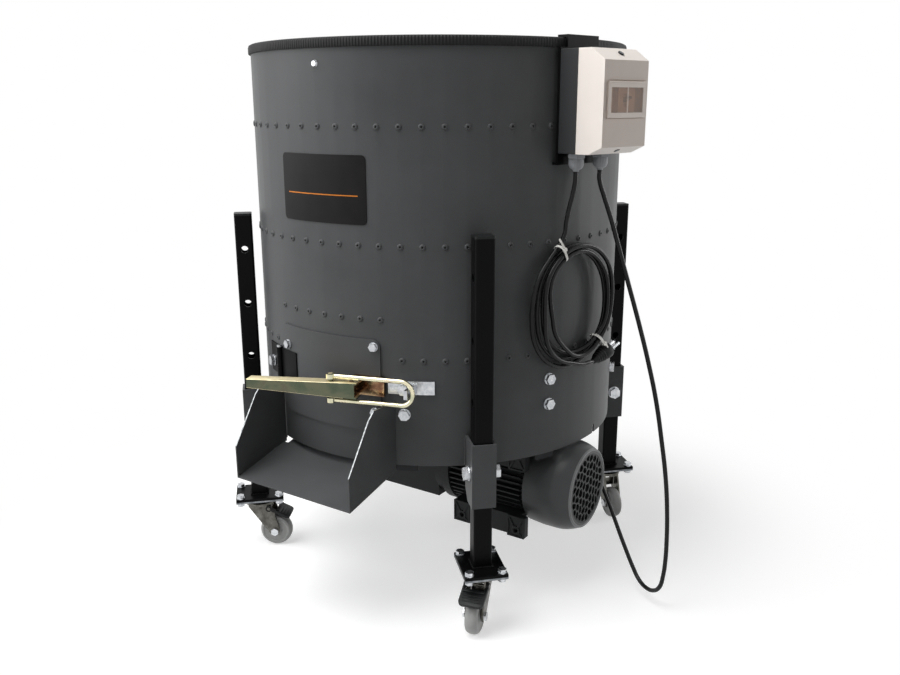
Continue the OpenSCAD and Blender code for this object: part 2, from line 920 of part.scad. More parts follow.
module latch_hook() {
    color("#d6b45c")
        hook_frame()
            difference() {
                union() {
                    for (sy = [-1, 1])
                        translate([0, sy * hook_gap / 2, 0]) {
                            rotate([0, 90, 0])
                                cylinder(d = hook_wire_d, h = hook_len - hook_tip_r, $fn = 24);
                            latch_pin_at(0, 0, 2 * hook_eye_r, hook_wire_d);
                        }
                    translate([hook_len - hook_tip_r, 0, 0])
                        rotate([0, 0, -90])
                            rotate_extrude(angle = 180)
                                translate([hook_tip_r, 0])
                                    circle(d = hook_wire_d, $fn = 24);
                }
                latch_pin_at(0, 0, latch_pin_d + 2 * run_fit, 2 * hook_gap);
            }
}

// The catch on the drum wall: a curved pad under the loop, with a raked neck
module latch_catch() {
    loop_in = hook_tip_r - hook_wire_d / 2 - play;
    neck_in = sqrt(loop_in * loop_in - catch_neck_h * catch_neck_h / 4);
    neck_x = hook_tip_x - (hook_tip_r - neck_in) * cos(hook_lean);
    neck_top = hook_tip_z + hook_wire_d;
    neck_low = -latch_face / 8;
    lean = (neck_top - hook_tip_z) * tan(catch_rake);
    foot = (hook_tip_z - neck_low) * tan(catch_rake);
    color("#8d9092")
        difference() {
            union() {
                band(
                    drum_r + seat_gap, drum_r + seat_gap + catch_t, latch_z - catch_h / 2,
                    latch_z + catch_h / 2, catch_az0, catch_az1
                );
                latch_plane()
                    rotate([90, 0, 0])
                        linear_extrude(height = catch_neck_h, center = true)
                            polygon([
                                [neck_x - lean - catch_neck_t, neck_top], [neck_x - lean, neck_top],
                                [neck_x + foot, neck_low], [neck_x - catch_neck_t, neck_low]
                            ]);
            }
            translate([0, 0, latch_z - catch_h])
                cylinder(r = drum_r + seat_gap, h = 2 * catch_h, $fn = 120);
            hanger_bolt_holes();
        }
}

// The side walls' outline: x is the distance from the drum's axis, y the height
module chute_side_outline() {
    run = chute_reach - chute_side_y;
    polygon([
        [chute_side_y, chute_back_z - chute_t], [chute_reach, chute_front_z - chute_t],
        [chute_reach, chute_front_z + chute_front_h],
        [chute_side_y + run * chute_shoulder_share,
         chute_top_z - (chute_top_z - chute_front_z - chute_front_h) * (1 - chute_lip_share)],
        [chute_side_y + run * chute_shoulder_share * 0.8, chute_top_z], [chute_side_y, chute_top_z]
    ]);
}

module chute() {
    drop = (chute_back_z - chute_front_z) / (chute_reach - chute_side_y);
    back_z = chute_back_z - (chute_back_y - chute_side_y) * drop;
    color("#5b5d5e") {
        for (sx = [-1, 1])
            translate([sx * (chute_w - chute_t) / 2, 0, 0])
                rotate([90, 0, -90])
                    linear_extrude(height = chute_t, center = true)
                        chute_side_outline();
        // The floor's back runs in under the skirt, its corners cut clear of the hanger straps
        difference() {
            rotate([90, 0, -90])
                linear_extrude(height = chute_w - chute_t, center = true)
                    polygon([
                        [chute_back_y, back_z - chute_t], [chute_reach, chute_front_z - chute_t],
                        [chute_reach, chute_front_z], [chute_back_y, back_z]
                    ]);
            for (x = [-chute_tongue_x - chute_w, chute_tongue_x])
                translate([x, -chute_notch_y, 0])
                    cube([chute_w, chute_notch_y, chute_top_z]);
        }
    }
}

// The sleeve's plan: x along the wall, y outwards from the drum's axis
module sleeve_plan() {
    difference() {
        translate([-sleeve_out, 0])
            square([2 * sleeve_out, leg_r + sleeve_out]);
        translate([-sleeve_in, -overrun])
            square([2 * sleeve_in, leg_r + sleeve_in + overrun]);
    }
}

module leg_sleeves() {
    color("#55585a")
        for (az = leg_azs)
            difference() {
                at_az(az, 0, sleeve_z0)
                    mirror([0, 1, 0])
                        linear_extrude(height = sleeve_h)
                            sleeve_plan();
                translate([0, 0, sleeve_z0 - overrun])
                    cylinder(r = drum_r + seat_gap, h = sleeve_h + 2 * overrun, $fn = 120);
                at_az(az, drum_r, sleeve_z0)
                    rotate([0, 90, 0])
                        cylinder(r = sleeve_bevel, h = leg_r, center = true, $fn = 4);
                at_az(az, leg_r, leg_bolt_z)
                    rotate([0, 90, 0])
                        cylinder(d = leg_bolt_d + play, h = leg_r, center = true);
            }
}

module leg(az) {
    tube_h = leg_top_z - leg_foot_z;
    color("#141415")
        difference() {
            at_az(az, leg_r, leg_foot_z)
                linear_extrude(height = tube_h)
                    rounded_rect(leg_w, leg_w, leg_corner_r);
            at_az(az, leg_r, 0) {
                translate([0, 0, leg_foot_z - overrun])
                    linear_extrude(height = tube_h + 2 * overrun)
                        rounded_rect(leg_w - 2 * leg_t, leg_w - 2 * leg_t, leg_corner_r - leg_t / 2);
                for (z = [hole_top_z, hole_top_z - hole_pitch, hole_top_z - 2 * hole_pitch, leg_bolt_z])
                    translate([0, 0, z])
                        rotate([0, 90, 0])
                            cylinder(d = hole_d, h = 2 * leg_w, center = true);
            }
        }
}

module foot_plates() {
    color("#141415")
        for (az = leg_azs)
            at_az(az, leg_r, foot_z)
                difference() {
                    translate([-foot_w / 2, -foot_len / 2, 0])
                        cube([foot_w, foot_len, foot_t]);
                    foot_bolt_places()
                        translate([0, 0, -overrun])
                            cylinder(d = foot_bolt_d + play, h = foot_t + 2 * overrun);
                }
}

module foot_bolt_places() {
    for (sx = [-1, 1], sy = [-1, 1])
        translate([sx * foot_bolt_w / 2, sy * foot_bolt_len / 2, 0])
            children();
}

module leg_front_right() { leg(leg_azs[0]); }
module leg_front_left() { leg(leg_azs[1]); }
module leg_rear_right() { leg(leg_azs[2]); }
module leg_rear_left() { leg(leg_azs[3]); }

module leg_caps() {
    plug_w = leg_w - 2 * leg_t - 2 * seat_gap;
    color("#0e0e0f")
        for (az = leg_azs)
            at_az(az, leg_r, leg_top_z) {
                linear_extrude(height = leg_cap_h)
                    rounded_rect(leg_w, leg_w, leg_corner_r);
                translate([0, 0, -leg_cap_depth])
                    linear_extrude(height = leg_cap_depth + overrun)
                        rounded_rect(plug_w, plug_w, leg_corner_r);
            }
}

module leg_bolts() {
    reach = sleeve_out;
    color("#c9cbcd")
        for (az = leg_azs) {
            at_az(az, leg_r, leg_bolt_z) {
                translate([-reach, 0, 0])
                    rotate([0, -90, 0])
                        hex_bolt(leg_bolt_d, leg_bolt_af, leg_bolt_head_h, 2 * reach + leg_nut_h);
                translate([reach, 0, 0])
                    rotate([0, 90, 0])
                        hex_nut(leg_bolt_d, leg_bolt_af, leg_nut_h);
            }
            at_az(az, leg_r, 0)
                foot_bolt_places() {
                    translate([0, 0, leg_foot_z])
                        hex_bolt(foot_bolt_d, foot_bolt_af, foot_bolt_head_h, foot_t + caster_plate_t);
                    translate([0, 0, caster_plate_z - foot_nut_h])
                        hex_nut(foot_bolt_d, foot_bolt_af, foot_nut_h);
                }
        }
}

module caster_plates() {
    color("#b9bcbe")
        for (az = leg_azs)
            at_az(az, leg_r, 0)
                difference() {
                    union() {
                        translate([-foot_w / 2, -foot_len / 2, caster_plate_z])
                            cube([foot_w, foot_len, caster_plate_t]);
                        translate([0, 0, caster_plate_z - race_h])
                            cylinder(d1 = swivel_d * 0.8, d2 = swivel_d, h = race_h);
                        translate([0, 0, crown_z - crown_t])
                            cylinder(d = king_d, h = caster_plate_z - crown_z + crown_t);
                        translate([0, 0, crown_z - crown_t])
                            cylinder(d = king_head_d, h = crown_t - race_gap);
                    }
                    foot_bolt_places()
                        translate([0, 0, caster_plate_z - overrun])
                            cylinder(d = foot_bolt_d + play, h = caster_plate_t + 2 * overrun);
                }
}

// Children are drawn at the caster's swivel axis with -y along its trail
module caster_at(index) {
    at_az(leg_azs[index], leg_r, 0)
        rotate([0, 0, caster_yaws[index]])
            children();
}

module cheek_outline() {
    axle_z = wheel_d / 2;
    polygon([
        [-swivel_d * 0.36, crown_top_z], [swivel_d * 0.42, crown_top_z],
        [caster_trail + axle_boss_r, axle_z + axle_boss_r / 2],
        [caster_trail + axle_boss_r * 0.7, axle_z - axle_boss_r * 0.7],
        [caster_trail - axle_boss_r * 0.7, axle_z - axle_boss_r * 0.7],
        [-swivel_d * 0.36, crown_z - crown_t]
    ]);
}

module fork(index) {
    color("#aeb1b3")
        caster_at(index)
            difference() {
                union() {
                    translate([0, 0, crown_z])
                        cylinder(d = swivel_d, h = crown_t);
                    for (sx = [-1, 1])
                        translate([sx * (cheek_x + cheek_t / 2), 0, 0])
                            rotate([90, 0, -90])
                                linear_extrude(height = cheek_t, center = true)
                                    cheek_outline();
                    translate([0, -caster_trail, wheel_d / 2])
                        rotate([0, 90, 0]) {
                            cylinder(d = axle_d, h = 2 * cheek_x + 2 * cheek_t, center = true);
                            for (sz = [-1, 1])
                                translate([0, 0, sz * (cheek_x + cheek_t + axle_head_h / 2)])
                                    cylinder(d = axle_head_d, h = axle_head_h, center = true, $fn = 6);
                        }
                    if (index < 2)
                        translate([0, -pedal_pivot_y, pedal_z])
                            rotate([0, 90, 0])
                                cylinder(d = pedal_pin_d, h = pedal_w + 2 * play, center = true);
                }
                translate([0, 0, crown_z - overrun])
                    cylinder(d = king_d + 2 * run_fit, h = crown_t + 2 * overrun);
            }
}

module fork_front_right() { fork(0); }
module fork_front_left() { fork(1); }
module fork_rear_right() { fork(2); }
module fork_rear_left() { fork(3); }

module wheel(index) {
    r = wheel_d / 2;
    shoulder = wheel_w * 0.3;
    bore_r = axle_d / 2 + run_fit;
    color("#c5c6c4")
        caster_at(index)
            translate([0, -caster_trail, r])
                rotate([0, 90, 0])
                    rotate_extrude($fn = 72)
                        polygon([
                            [bore_r, -wheel_w / 2], [r * 0.84, -wheel_w / 2], [r, -shoulder],
                            [r, shoulder], [r * 0.84, wheel_w / 2], [bore_r, wheel_w / 2]
                        ]);
}

module wheel_front_right() { wheel(0); }
module wheel_front_left() { wheel(1); }
module wheel_rear_right() { wheel(2); }
module wheel_rear_left() { wheel(3); }

// The pedal's side outline: x along the trail, y up, with its pin at the origin
module pedal_outline() {
    difference() {
        union() {
            circle(r = pedal_pin_d);
            rotate(pedal_drop)
                translate([-pedal_len - pedal_pin_d, -pedal_t / 2])
                    square([pedal_len + pedal_pin_d / 4, pedal_t]);
        }
        circle(d = pedal_pin_d + 2 * run_fit);
    }
}

// The brake pedal swings on the fork's pin, with an arm outside each cheek
module pedal(index) {
    color("#161617")
        caster_at(index)
            translate([0, -pedal_pivot_y, pedal_z])
                difference() {
                    rotate([90, 0, 90])
                        linear_extrude(height = pedal_w, center = true)
                            pedal_outline();
                    translate([-cheek_x - cheek_t - play, -2.2 * pedal_pin_d, -pedal_len])
                        cube([2 * (cheek_x + cheek_t + play), 4 * pedal_pin_d, 2 * pedal_len]);
                }
}

module pedal_front_right() { pedal(0); }
module pedal_front_left() { pedal(1); }

module hanger_straps() {
    color("#6d7072")
        difference() {
            for (az = hanger_azs)
                at_az(az, 0, 0) {
                    translate([-hanger_w / 2, -hanger_face, hanger_low_z])
                        cube([hanger_w, hanger_t, hanger_top_z - hanger_low_z]);
                    translate([-hanger_w / 2, -hanger_face, frame_z - hanger_t])
                        cube([hanger_w, hanger_tab_len, hanger_t]);
                }
            hanger_bolt_holes();
        }
}

module cross_frame() {
    color("#3a3b3c")
        difference() {
            union() {
                for (s = [-1, 1]) {
                    translate([s * frame_offset - frame_bar / 2, -frame_reach, frame_z])
                        cube([frame_bar, 2 * frame_reach, frame_bar]);
                    translate([-frame_reach, s * frame_offset - frame_bar / 2, frame_z])
                        cube([2 * frame_reach, frame_bar, frame_bar]);
                }
                translate([-gear_plate_x, -frame_offset - frame_bar / 2, gear_plate_z])
                    cube([2 * gear_plate_x, 2 * frame_offset + frame_bar, gear_plate_t]);
            }
            translate([0, 0, gear_plate_z - overrun])
                cylinder(d = shaft_d + hub_r / 2, h = gear_plate_t + 2 * overrun);
        }
}

module gearbox_housing() {
    color("#3f4143")
        difference() {
            union() {
                translate([-gear_half_x, -gear_front_y, motor_z - gear_half_z])
                    cube([2 * gear_half_x, gear_front_y + gear_back_y, 2 * gear_half_z]);
                translate([0, 0, motor_z + gear_half_z - overrun])
                    cylinder(r = gear_flange_r, h = gear_flange_t + overrun);
                along_x(gear_half_x - overrun, -worm_offset, motor_z)
                    cylinder(r = input_flange_r, h = motor_front_x - gear_half_x + overrun);
            }
            translate([0, 0, motor_z - wheel_cavity_h / 2])
                cylinder(r = wheel_cavity_r, h = wheel_cavity_h);
            along_x(-worm_cavity_x, -worm_offset, motor_z)
                cylinder(r = worm_cavity_r, h = 2 * worm_cavity_x);
            along_x(-worm_end_x - play, -worm_offset, motor_z)
                cylinder(d = worm_d + 2 * run_fit, h = worm_end_x + worm_tip_x + 2 * overrun);
            translate([0, 0, motor_z - gear_half_z - overrun])
                cylinder(d = shaft_d + 2 * run_fit, h = 2 * gear_half_z + gear_flange_t + 2 * overrun);
        }
}

module worm_shaft() {
    color("#9da0a2") {
        along_x(-worm_end_x, -worm_offset, motor_z)
            cylinder(d = worm_d, h = worm_end_x + worm_tip_x);
        along_x(-worm_cavity_x + overrun, -worm_offset, motor_z)
            cylinder(r = worm_r, h = 2 * (worm_cavity_x - overrun));
    }
}

module worm_wheel() {
    teeth = 30;
    notch_r = gear_wheel_r * 0.06;
    color("#b08a3e")
        difference() {
            translate([0, 0, motor_z - gear_wheel_h / 2])
                cylinder(r = gear_wheel_r, h = gear_wheel_h);
            translate([0, 0, motor_z - gear_wheel_h])
                cylinder(d = shaft_d + 2 * run_fit, h = 2 * gear_wheel_h);
            for (i = [0 : teeth - 1])
                rotate([0, 0, i * 360 / teeth])
                    translate([gear_wheel_r, 0, motor_z - gear_wheel_h])
                        cylinder(r = notch_r, h = 2 * gear_wheel_h, $fn = 16);
        }
}

module rotor_disc() {
    color("#84878a") {
        translate([0, 0, disc_low_z])
            cylinder(r = disc_r, h = disc_t, $fn = 120);
        translate([0, 0, disc_low_z - hub_h])
            cylinder(r = hub_r, h = hub_h);
        translate([0, 0, shaft_low_z])
            cylinder(d = shaft_d, h = disc_z - shaft_low_z);
        translate([0, 0, disc_z])
            cylinder(r1 = cone_r, r2 = cone_top_r, h = cone_h);
        for (i = [0 : vane_count - 1])
            rotate([0, 0, (i + 0.5) * 360 / vane_count])
                translate([vane_in, -vane_t / 2, disc_z - overrun])
                    cube([disc_r - vane_out_gap - vane_in, vane_t, vane_h + overrun]);
    }
}

module foot_rail(side) {
    rail_z = side > 0 ? motor_z + foot_a / 2 + foot_margin - foot_rail_h : motor_z - foot_a / 2 - foot_margin;
    web_z = side > 0 ? rail_z : rail_z + foot_rail_h - foot_web_t;
    rail_y = -worm_offset - foot_h;
    rail_x = foot_mid_x - foot_b / 2 - foot_pad;
    difference() {
        union() {
            translate([rail_x, rail_y, rail_z])
                cube([foot_b + 2 * foot_pad, foot_rail_t, foot_rail_h]);
            translate([rail_x, rail_y + foot_rail_t / 2, web_z])
                cube([cowl_x0 - play - rail_x, foot_h - motor_core_r * 0.6, foot_web_t]);
        }
        translate([rail_x + 2 * foot_pad, rail_y - overrun, rail_z - overrun])
            cube([foot_b - 2 * foot_pad, foot_pocket + overrun, foot_rail_h + 2 * overrun]);
        for (s = [-1, 1])
            translate([foot_mid_x + s * foot_b / 2, rail_y - overrun, motor_z + side * foot_a / 2])
                rotate([-90, 0, 0])
                    cylinder(d = foot_hole_d, h = foot_rail_t + 2 * overrun);
    }
}

module motor_frame() {
    body_x = motor_front_x + motor_flange_t;
    body_len = motor_back_x - body_x;
    color("#4a4d4f")
        difference() {
            union() {
                along_x(motor_front_x, -worm_offset, motor_z)
                    cylinder(r = motor_flange_r, h = motor_flange_t);
                along_x(body_x - overrun, -worm_offset, motor_z)
                    cylinder(r = motor_core_r, h = body_len + overrun);
                along_x(body_x, -worm_offset, motor_z)
                    linear_extrude(height = body_len - motor_wall)
                        for (i = [0 : fin_count - 1])
                            rotate(i * 360 / fin_count)
                                translate([motor_core_r - overrun, -fin_t / 2])
                                    square([motor_r - motor_core_r + overrun, fin_t]);
                foot_rail(-1);
                foot_rail(1);
            }
            along_x(body_x + motor_wall, -worm_offset, motor_z)
                cylinder(r = motor_bore_r, h = body_len - 2 * motor_wall);
            along_x(motor_front_x - overrun, -worm_offset, motor_z)
                cylinder(d = motor_shaft_d + 2 * run_fit, h = motor_back_x - motor_front_x + 2 * overrun);
        }
}

module motor_rotor() {
    body_x = motor_front_x + motor_flange_t;
    mid_x = (body_x + motor_back_x) / 2;
    color("#9da0a2") {
        along_x(worm_tip_x, -worm_offset, motor_z)
            cylinder(d = motor_shaft_d, h = fan_x + fan_blade_h - worm_tip_x);
        along_x(mid_x - rotor_core_len / 2, -worm_offset, motor_z)
            cylinder(r = rotor_core_r, h = rotor_core_len);
        along_x(fan_x - fan_t, -worm_offset, motor_z) {
            cylinder(r = fan_r, h = fan_t);
            cylinder(r = fan_hub_r, h = fan_blade_h);
            for (i = [0 : fan_blades - 1])
                rotate([0, 0, i * 360 / fan_blades])
                    translate([fan_hub_r - overrun, -fan_t / 2, 0])
                        cube([fan_r - fan_hub_r, fan_t, fan_blade_h]);
        }
    }
}

// The cowl's wall from its open lip to the edge of its end face
module cowl_outline(inset) {
    length = cowl_end_x - cowl_x0;
    polygon([
        [0, 0], [cowl_lip_r - inset, 0], [cowl_r - inset, length * 0.3], [cowl_r - inset, length - cowl_nose],
        [cowl_r - inset - (cowl_r - cowl_face_r) * 0.2, length - cowl_nose * 0.6],
        [cowl_r - inset - (cowl_r - cowl_face_r) * 0.55, length - cowl_nose * 0.25],
        [cowl_face_r - inset, length - inset], [0, length - inset]
    ]);
}

module fan_cowl() {
    color("#3d3f41")
        along_x(cowl_x0, -worm_offset, motor_z)
            difference() {
                rotate_extrude($fn = 72)
                    cowl_outline(0);
                translate([0, 0, -overrun])
                    cylinder(r = motor_r + play, h = overrun + motor_back_x - cowl_x0 + play);
                rotate_extrude($fn = 72)
                    cowl_outline(cowl_t);
                for (row = [-grille_rows : grille_rows], i = [-grille_rows : grille_rows]) {
                    gx = (i + row / 2) * grille_pitch;
                    gy = row * grille_pitch * sin(60);
                    if (norm([gx, gy]) < cowl_face_r - grille_margin - grille_hole / 2)
                        translate([gx, gy, cowl_end_x - cowl_x0 - 2 * cowl_t])
                            rotate([0, 0, 30])
                                cylinder(d = grille_hole, h = 3 * cowl_t, $fn = 6);
                }
            }
}

module terminal_box() {
    color("#3a3c3e")
        difference() {
            union() {
                translate([term_x0, term_y0, motor_z - term_h / 2])
                    cube([term_len, term_d, term_h]);
                translate([term_x0 - leaf_t, term_y0 + term_d, motor_z - term_h / 2 - leaf_t])
                    cube([term_len + 2 * leaf_t, term_lid_t, term_h + 2 * leaf_t]);
            }
            translate([0, -worm_offset, motor_z])
                rotate([0, 90, 0])
                    cylinder(r = motor_r + seat_gap, h = cowl_end_x);
        }
}

module box_plane() {
    face_az(box_az, bracket_front, box_z)
        children();
}

module box_bracket() {
    hook_top = trim_top_z + seat_gap;
    plate_low = bracket_low_z - box_z;
    top_y = hook_top + bracket_t - box_z;
    hook_back = bracket_front - hook_in + bracket_t;
    color("#121213")
        difference() {
            box_plane() {
                translate([-box_w / 2, plate_low, -bracket_t])
                    cube([box_w, hook_top - box_z - plate_low - trim_h, bracket_t]);
                translate([-hook_w / 2, plate_low, -bracket_t])
                    cube([hook_w, top_y - plate_low, bracket_t]);
                translate([-hook_w / 2, hook_top - box_z, -hook_back])
                    cube([hook_w, bracket_t, hook_back]);
                translate([-hook_w / 2, top_y - hook_drop, -hook_back])
                    cube([hook_w, hook_drop, bracket_t]);
                translate([-box_w / 2, plate_low, -bracket_front + drum_r - wall_t])
                    cube([box_w, bracket_t, bracket_front - drum_r + wall_t]);
            }
            translate([0, 0, bracket_low_z - overrun])
                cylinder(r = drum_r + seat_gap, h = bracket_t + 2 * overrun, $fn = 120);
        }
}

module box_base() {
    color("#3a3c3e")
        box_plane()
            difference() {
                translate([-box_w / 2, 0, 0])
                    cube([box_w, box_h, box_base_d]);
                translate([box_t - box_w / 2, box_t, box_t])
                    cube([box_w - 2 * box_t, box_h - 2 * box_t, box_base_d]);
                for (sx = [-1, 1])
                    translate([sx * gland_x, -overrun, gland_depth])
                        rotate([-90, 0, 0])
                            cylinder(d = gland_thread_d + seat_gap, h = box_t + 2 * overrun);
            }
}

// The cover's side outline: x is the height, y the distance from the box's back
module cover_outline(inset) {
    polygon([
        [inset, box_base_d], [box_h - inset, box_base_d], [box_h - inset, box_d - bevel_d],
        [box_h - bevel_top - inset / 2, box_d - inset], [bevel_low + inset / 2, box_d - inset],
        [inset, box_d - bevel_d]
    ]);
}

module box_cover() {
    window_low = flap_low + (flap_h - window_h) / 2;
    color("#e6e3dc")
        box_plane()
            difference() {
                rotate([90, 0, 90])
                    linear_extrude(height = box_w, center = true)
                        cover_outline(0);
                rotate([90, 0, 90])
                    linear_extrude(height = box_w - 2 * box_t, center = true)
                        cover_outline(box_t);
                translate([box_t - box_w / 2, box_t, box_base_d - overrun])
                    cube([box_w - 2 * box_t, box_h - 2 * box_t, 2 * overrun]);
                translate([-window_w / 2, window_low, box_d - 2 * bevel_d])
                    cube([window_w, window_h, 3 * bevel_d]);
                translate([-flap_w / 2 - play, flap_low - play, box_d - box_t / 2])
                    cube([flap_w + 2 * play, flap_h + flap_pin_d, bevel_d]);
            }
}

module window_flap() {
    color("#b9aea4")
        box_plane()
            translate([-flap_w / 2, flap_low, box_d - box_t / 2 + play / 2]) {
                cube([flap_w, flap_h, flap_t]);
                translate([0, flap_h, flap_t])
                    rotate([0, 90, 0])
                        cylinder(d = flap_pin_d, h = flap_w);
            }
}

module starter() {
    mid = flap_low + flap_h / 2;
    front = box_d - box_t - starter_gap;
    color("#d8d4cc")
        box_plane() {
            difference() {
                translate([-starter_w / 2, mid - starter_h / 2, box_t])
                    cube([starter_w, starter_h, front - box_t]);
                translate([toggle_x - toggle_w / 2 - play, mid - toggle_len / 2, front - toggle_len / 2])
                    cube([toggle_w + 2 * play, toggle_len, toggle_len]);
            }
            translate([toggle_x, mid, front - toggle_len / 4])
                rotate([0, 90, 0])
                    cylinder(d = toggle_pin_d, h = 2 * toggle_w, center = true);
        }
}

module starter_toggle() {
    mid = flap_low + flap_h / 2;
    front = box_d - box_t - starter_gap;
    color("#141415")
        box_plane()
            translate([toggle_x, mid, front - toggle_len / 4])
                rotate([-toggle_rest, 0, 0])
                    difference() {
                        union() {
                            rotate([0, 90, 0])
                                cylinder(d = 2 * toggle_pin_d, h = toggle_w, center = true);
                            translate([-toggle_w / 2, -toggle_pin_d / 2, toggle_pin_d * 0.7])
                                cube([toggle_w, toggle_pin_d, toggle_len / 2]);
                        }
                        rotate([0, 90, 0])
                            cylinder(d = toggle_pin_d + 2 * run_fit, h = 2 * toggle_w, center = true);
                    }
}

// A cable gland hanging down from z = 0, with a stub that passes the wall
module gland(stub) {
    translate([0, 0, -gland_hex_h])
        cylinder(d = gland_hex_af / cos(30), h = gland_hex_h, $fn = 6);
    translate([0, 0, -gland_h])
        cylinder(d1 = gland_cap_d * 0.7, d2 = gland_cap_d, h = gland_h - gland_hex_h + overrun);
    translate([0, 0, -overrun])
        cylinder(d = gland_thread_d, h = stub + overrun);
}

module cord_glands() {
    color("#8b8d8f") {
        for (sx = [-1, 1])
            at_az(box_az, gland_r, box_z)
                translate([sx * gland_x, 0, 0])
                    gland(gland_stub);
        translate([term_x0 + term_len, term_gland_y, term_gland_z])
            rotate([0, -90, 0])
                gland(0);
    }
}

function catmull(a, b, c, d, t) =
    0.5 * (2 * b + (c - a) * t + (2 * a - 5 * b + 4 * c - d) * t * t
    + (3 * b - a - 3 * c + d) * t * t * t);

function smooth_route(p, steps) = [
    for (i = [0 : len(p) - 2], k = [0 : steps - 1])
        catmull(p[max(i - 1, 0)], p[i], p[i + 1], p[min(i + 2, len(p) - 1)], k / steps),
    p[len(p) - 1]
];

function unit(v) = v / norm(v);

// One ring of points round each point of a route
function tube_points(p, r) = [
    for (i = [0 : len(p) - 1])
        let (
            along = unit(p[min(i + 1, len(p) - 1)] - p[max(i - 1, 0)]),
            side = unit(cross(along, [0, 1, 0])),
            up = cross(side, along)
        )
        for (k = [0 : cord_sides - 1])
            p[i] + r * (cos(k * 360 / cord_sides) * side + sin(k * 360 / cord_sides) * up)
];

module cord_tube(route) {
    p = smooth_route(route, cord_steps);
    n = cord_sides;
    last = (len(p) - 1) * n;
    polyhedron(
        points = tube_points(p, cord_d / 2),
        faces = concat(
            [[for (k = [0 : n - 1]) k]],
            [[for (k = [0 : n - 1]) last + n - 1 - k]],
            [for (i = [0 : len(p) - 2], k = [0 : n - 1])
                [i * n + k, (i + 1) * n + k, (i + 1) * n + (k + 1) % n, i * n + (k + 1) % n]]
        )
    );
}

module supply_lead() {
    color("#1a1a1b")
        cord_tube(lead_route);
}

module motor_cord() {
    color("#1a1a1b")
        cord_tube(motor_route);
}

// An upright slot shape: two round ends a straight stretch apart
module slot_outline(r) {
    for (s = [-1, 1])
        translate([0, s * coil_straight])
            circle(r = r, $fn = 96);
    square([2 * r, 2 * coil_straight], center = true);
}

module supply_coil() {
    color("#1a1a1b")
        face_az(coil_az, coil_face, coil_mid_z)
            translate([coil_mid_x, 0, 0])
                linear_extrude(height = coil_depth)
                    difference() {
                        slot_outline(coil_r);
                        slot_outline(coil_r - coil_build);
                    }
}

// Cable ties: flat loops round the coil's winding
module cord_ties() {
    band_in = coil_r - coil_build - seat_gap;
    reach = coil_build + 2 * seat_gap;
    depth = coil_depth + seat_gap;
    color("#eceae6")
        for (a = tie_angles)
            face_az(coil_az, coil_face, coil_mid_z)
                translate([coil_mid_x, a > 0 ? coil_straight : -coil_straight, 0])
                    rotate([0, 0, a])
                        translate([band_in, 0, 0])
                            difference() {
                                translate([-tie_t, -tie_w / 2, -seat_gap - tie_t])
                                    cube([reach + 2 * tie_t, tie_w, depth + seat_gap + 2 * tie_t]);
                                translate([0, -tie_w, -seat_gap])
                                    cube([reach, 2 * tie_w, depth + seat_gap]);
                            }
}

module supply_plug() {
    color("#161617")
        face_az(coil_az, coil_face + plug_d / 2, plug_z)
            translate([plug_x, 0, 0])
                rotate([0, 90, plug_tilt]) {
                    cylinder(d1 = plug_d * 0.6, d2 = plug_d, h = plug_len * 0.6);
                    translate([0, 0, plug_len * 0.6])
                        cylinder(d = plug_d, h = plug_len * 0.4);
                    for (s = [-1, 1])
                        translate([s * plug_pin_gap / 2, 0, plug_len])
                            cylinder(d = plug_pin_d, h = plug_pin_len);
                }
}

drum_shell();
rim_trim();
rasp_lining();
ring_rivets();
lower_rivets();
wall_bolts();
name_plate();
door_panel();
door_backing();
door_bolts();
hinge_wall_leaf();
hinge_door_leaf();
hinge_pin();
latch_base();
latch_lever();
latch_hook();
latch_catch();
chute();
leg_sleeves();
leg_front_right();
leg_front_left();
leg_rear_right();
leg_rear_left();
foot_plates();
leg_caps();
leg_bolts();
caster_plates();
fork_front_right();
fork_front_left();
fork_rear_right();
fork_rear_left();
wheel_front_right();
wheel_front_left();
wheel_rear_right();
wheel_rear_left();
pedal_front_right();
pedal_front_left();
hanger_straps();
cross_frame();
gearbox_housing();
worm_shaft();
worm_wheel();
rotor_disc();
motor_frame();
motor_rotor();
fan_cowl();
terminal_box();
box_bracket();
box_base();
box_cover();
window_flap();
starter();
starter_toggle();
cord_glands();
cord_ties();
supply_lead();
supply_coil();
supply_plug();
motor_cord();
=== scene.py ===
import json
import math
import random

import bmesh
import bpy
from mathutils import Matrix, Vector
from mathutils.geometry import interpolate_bezier

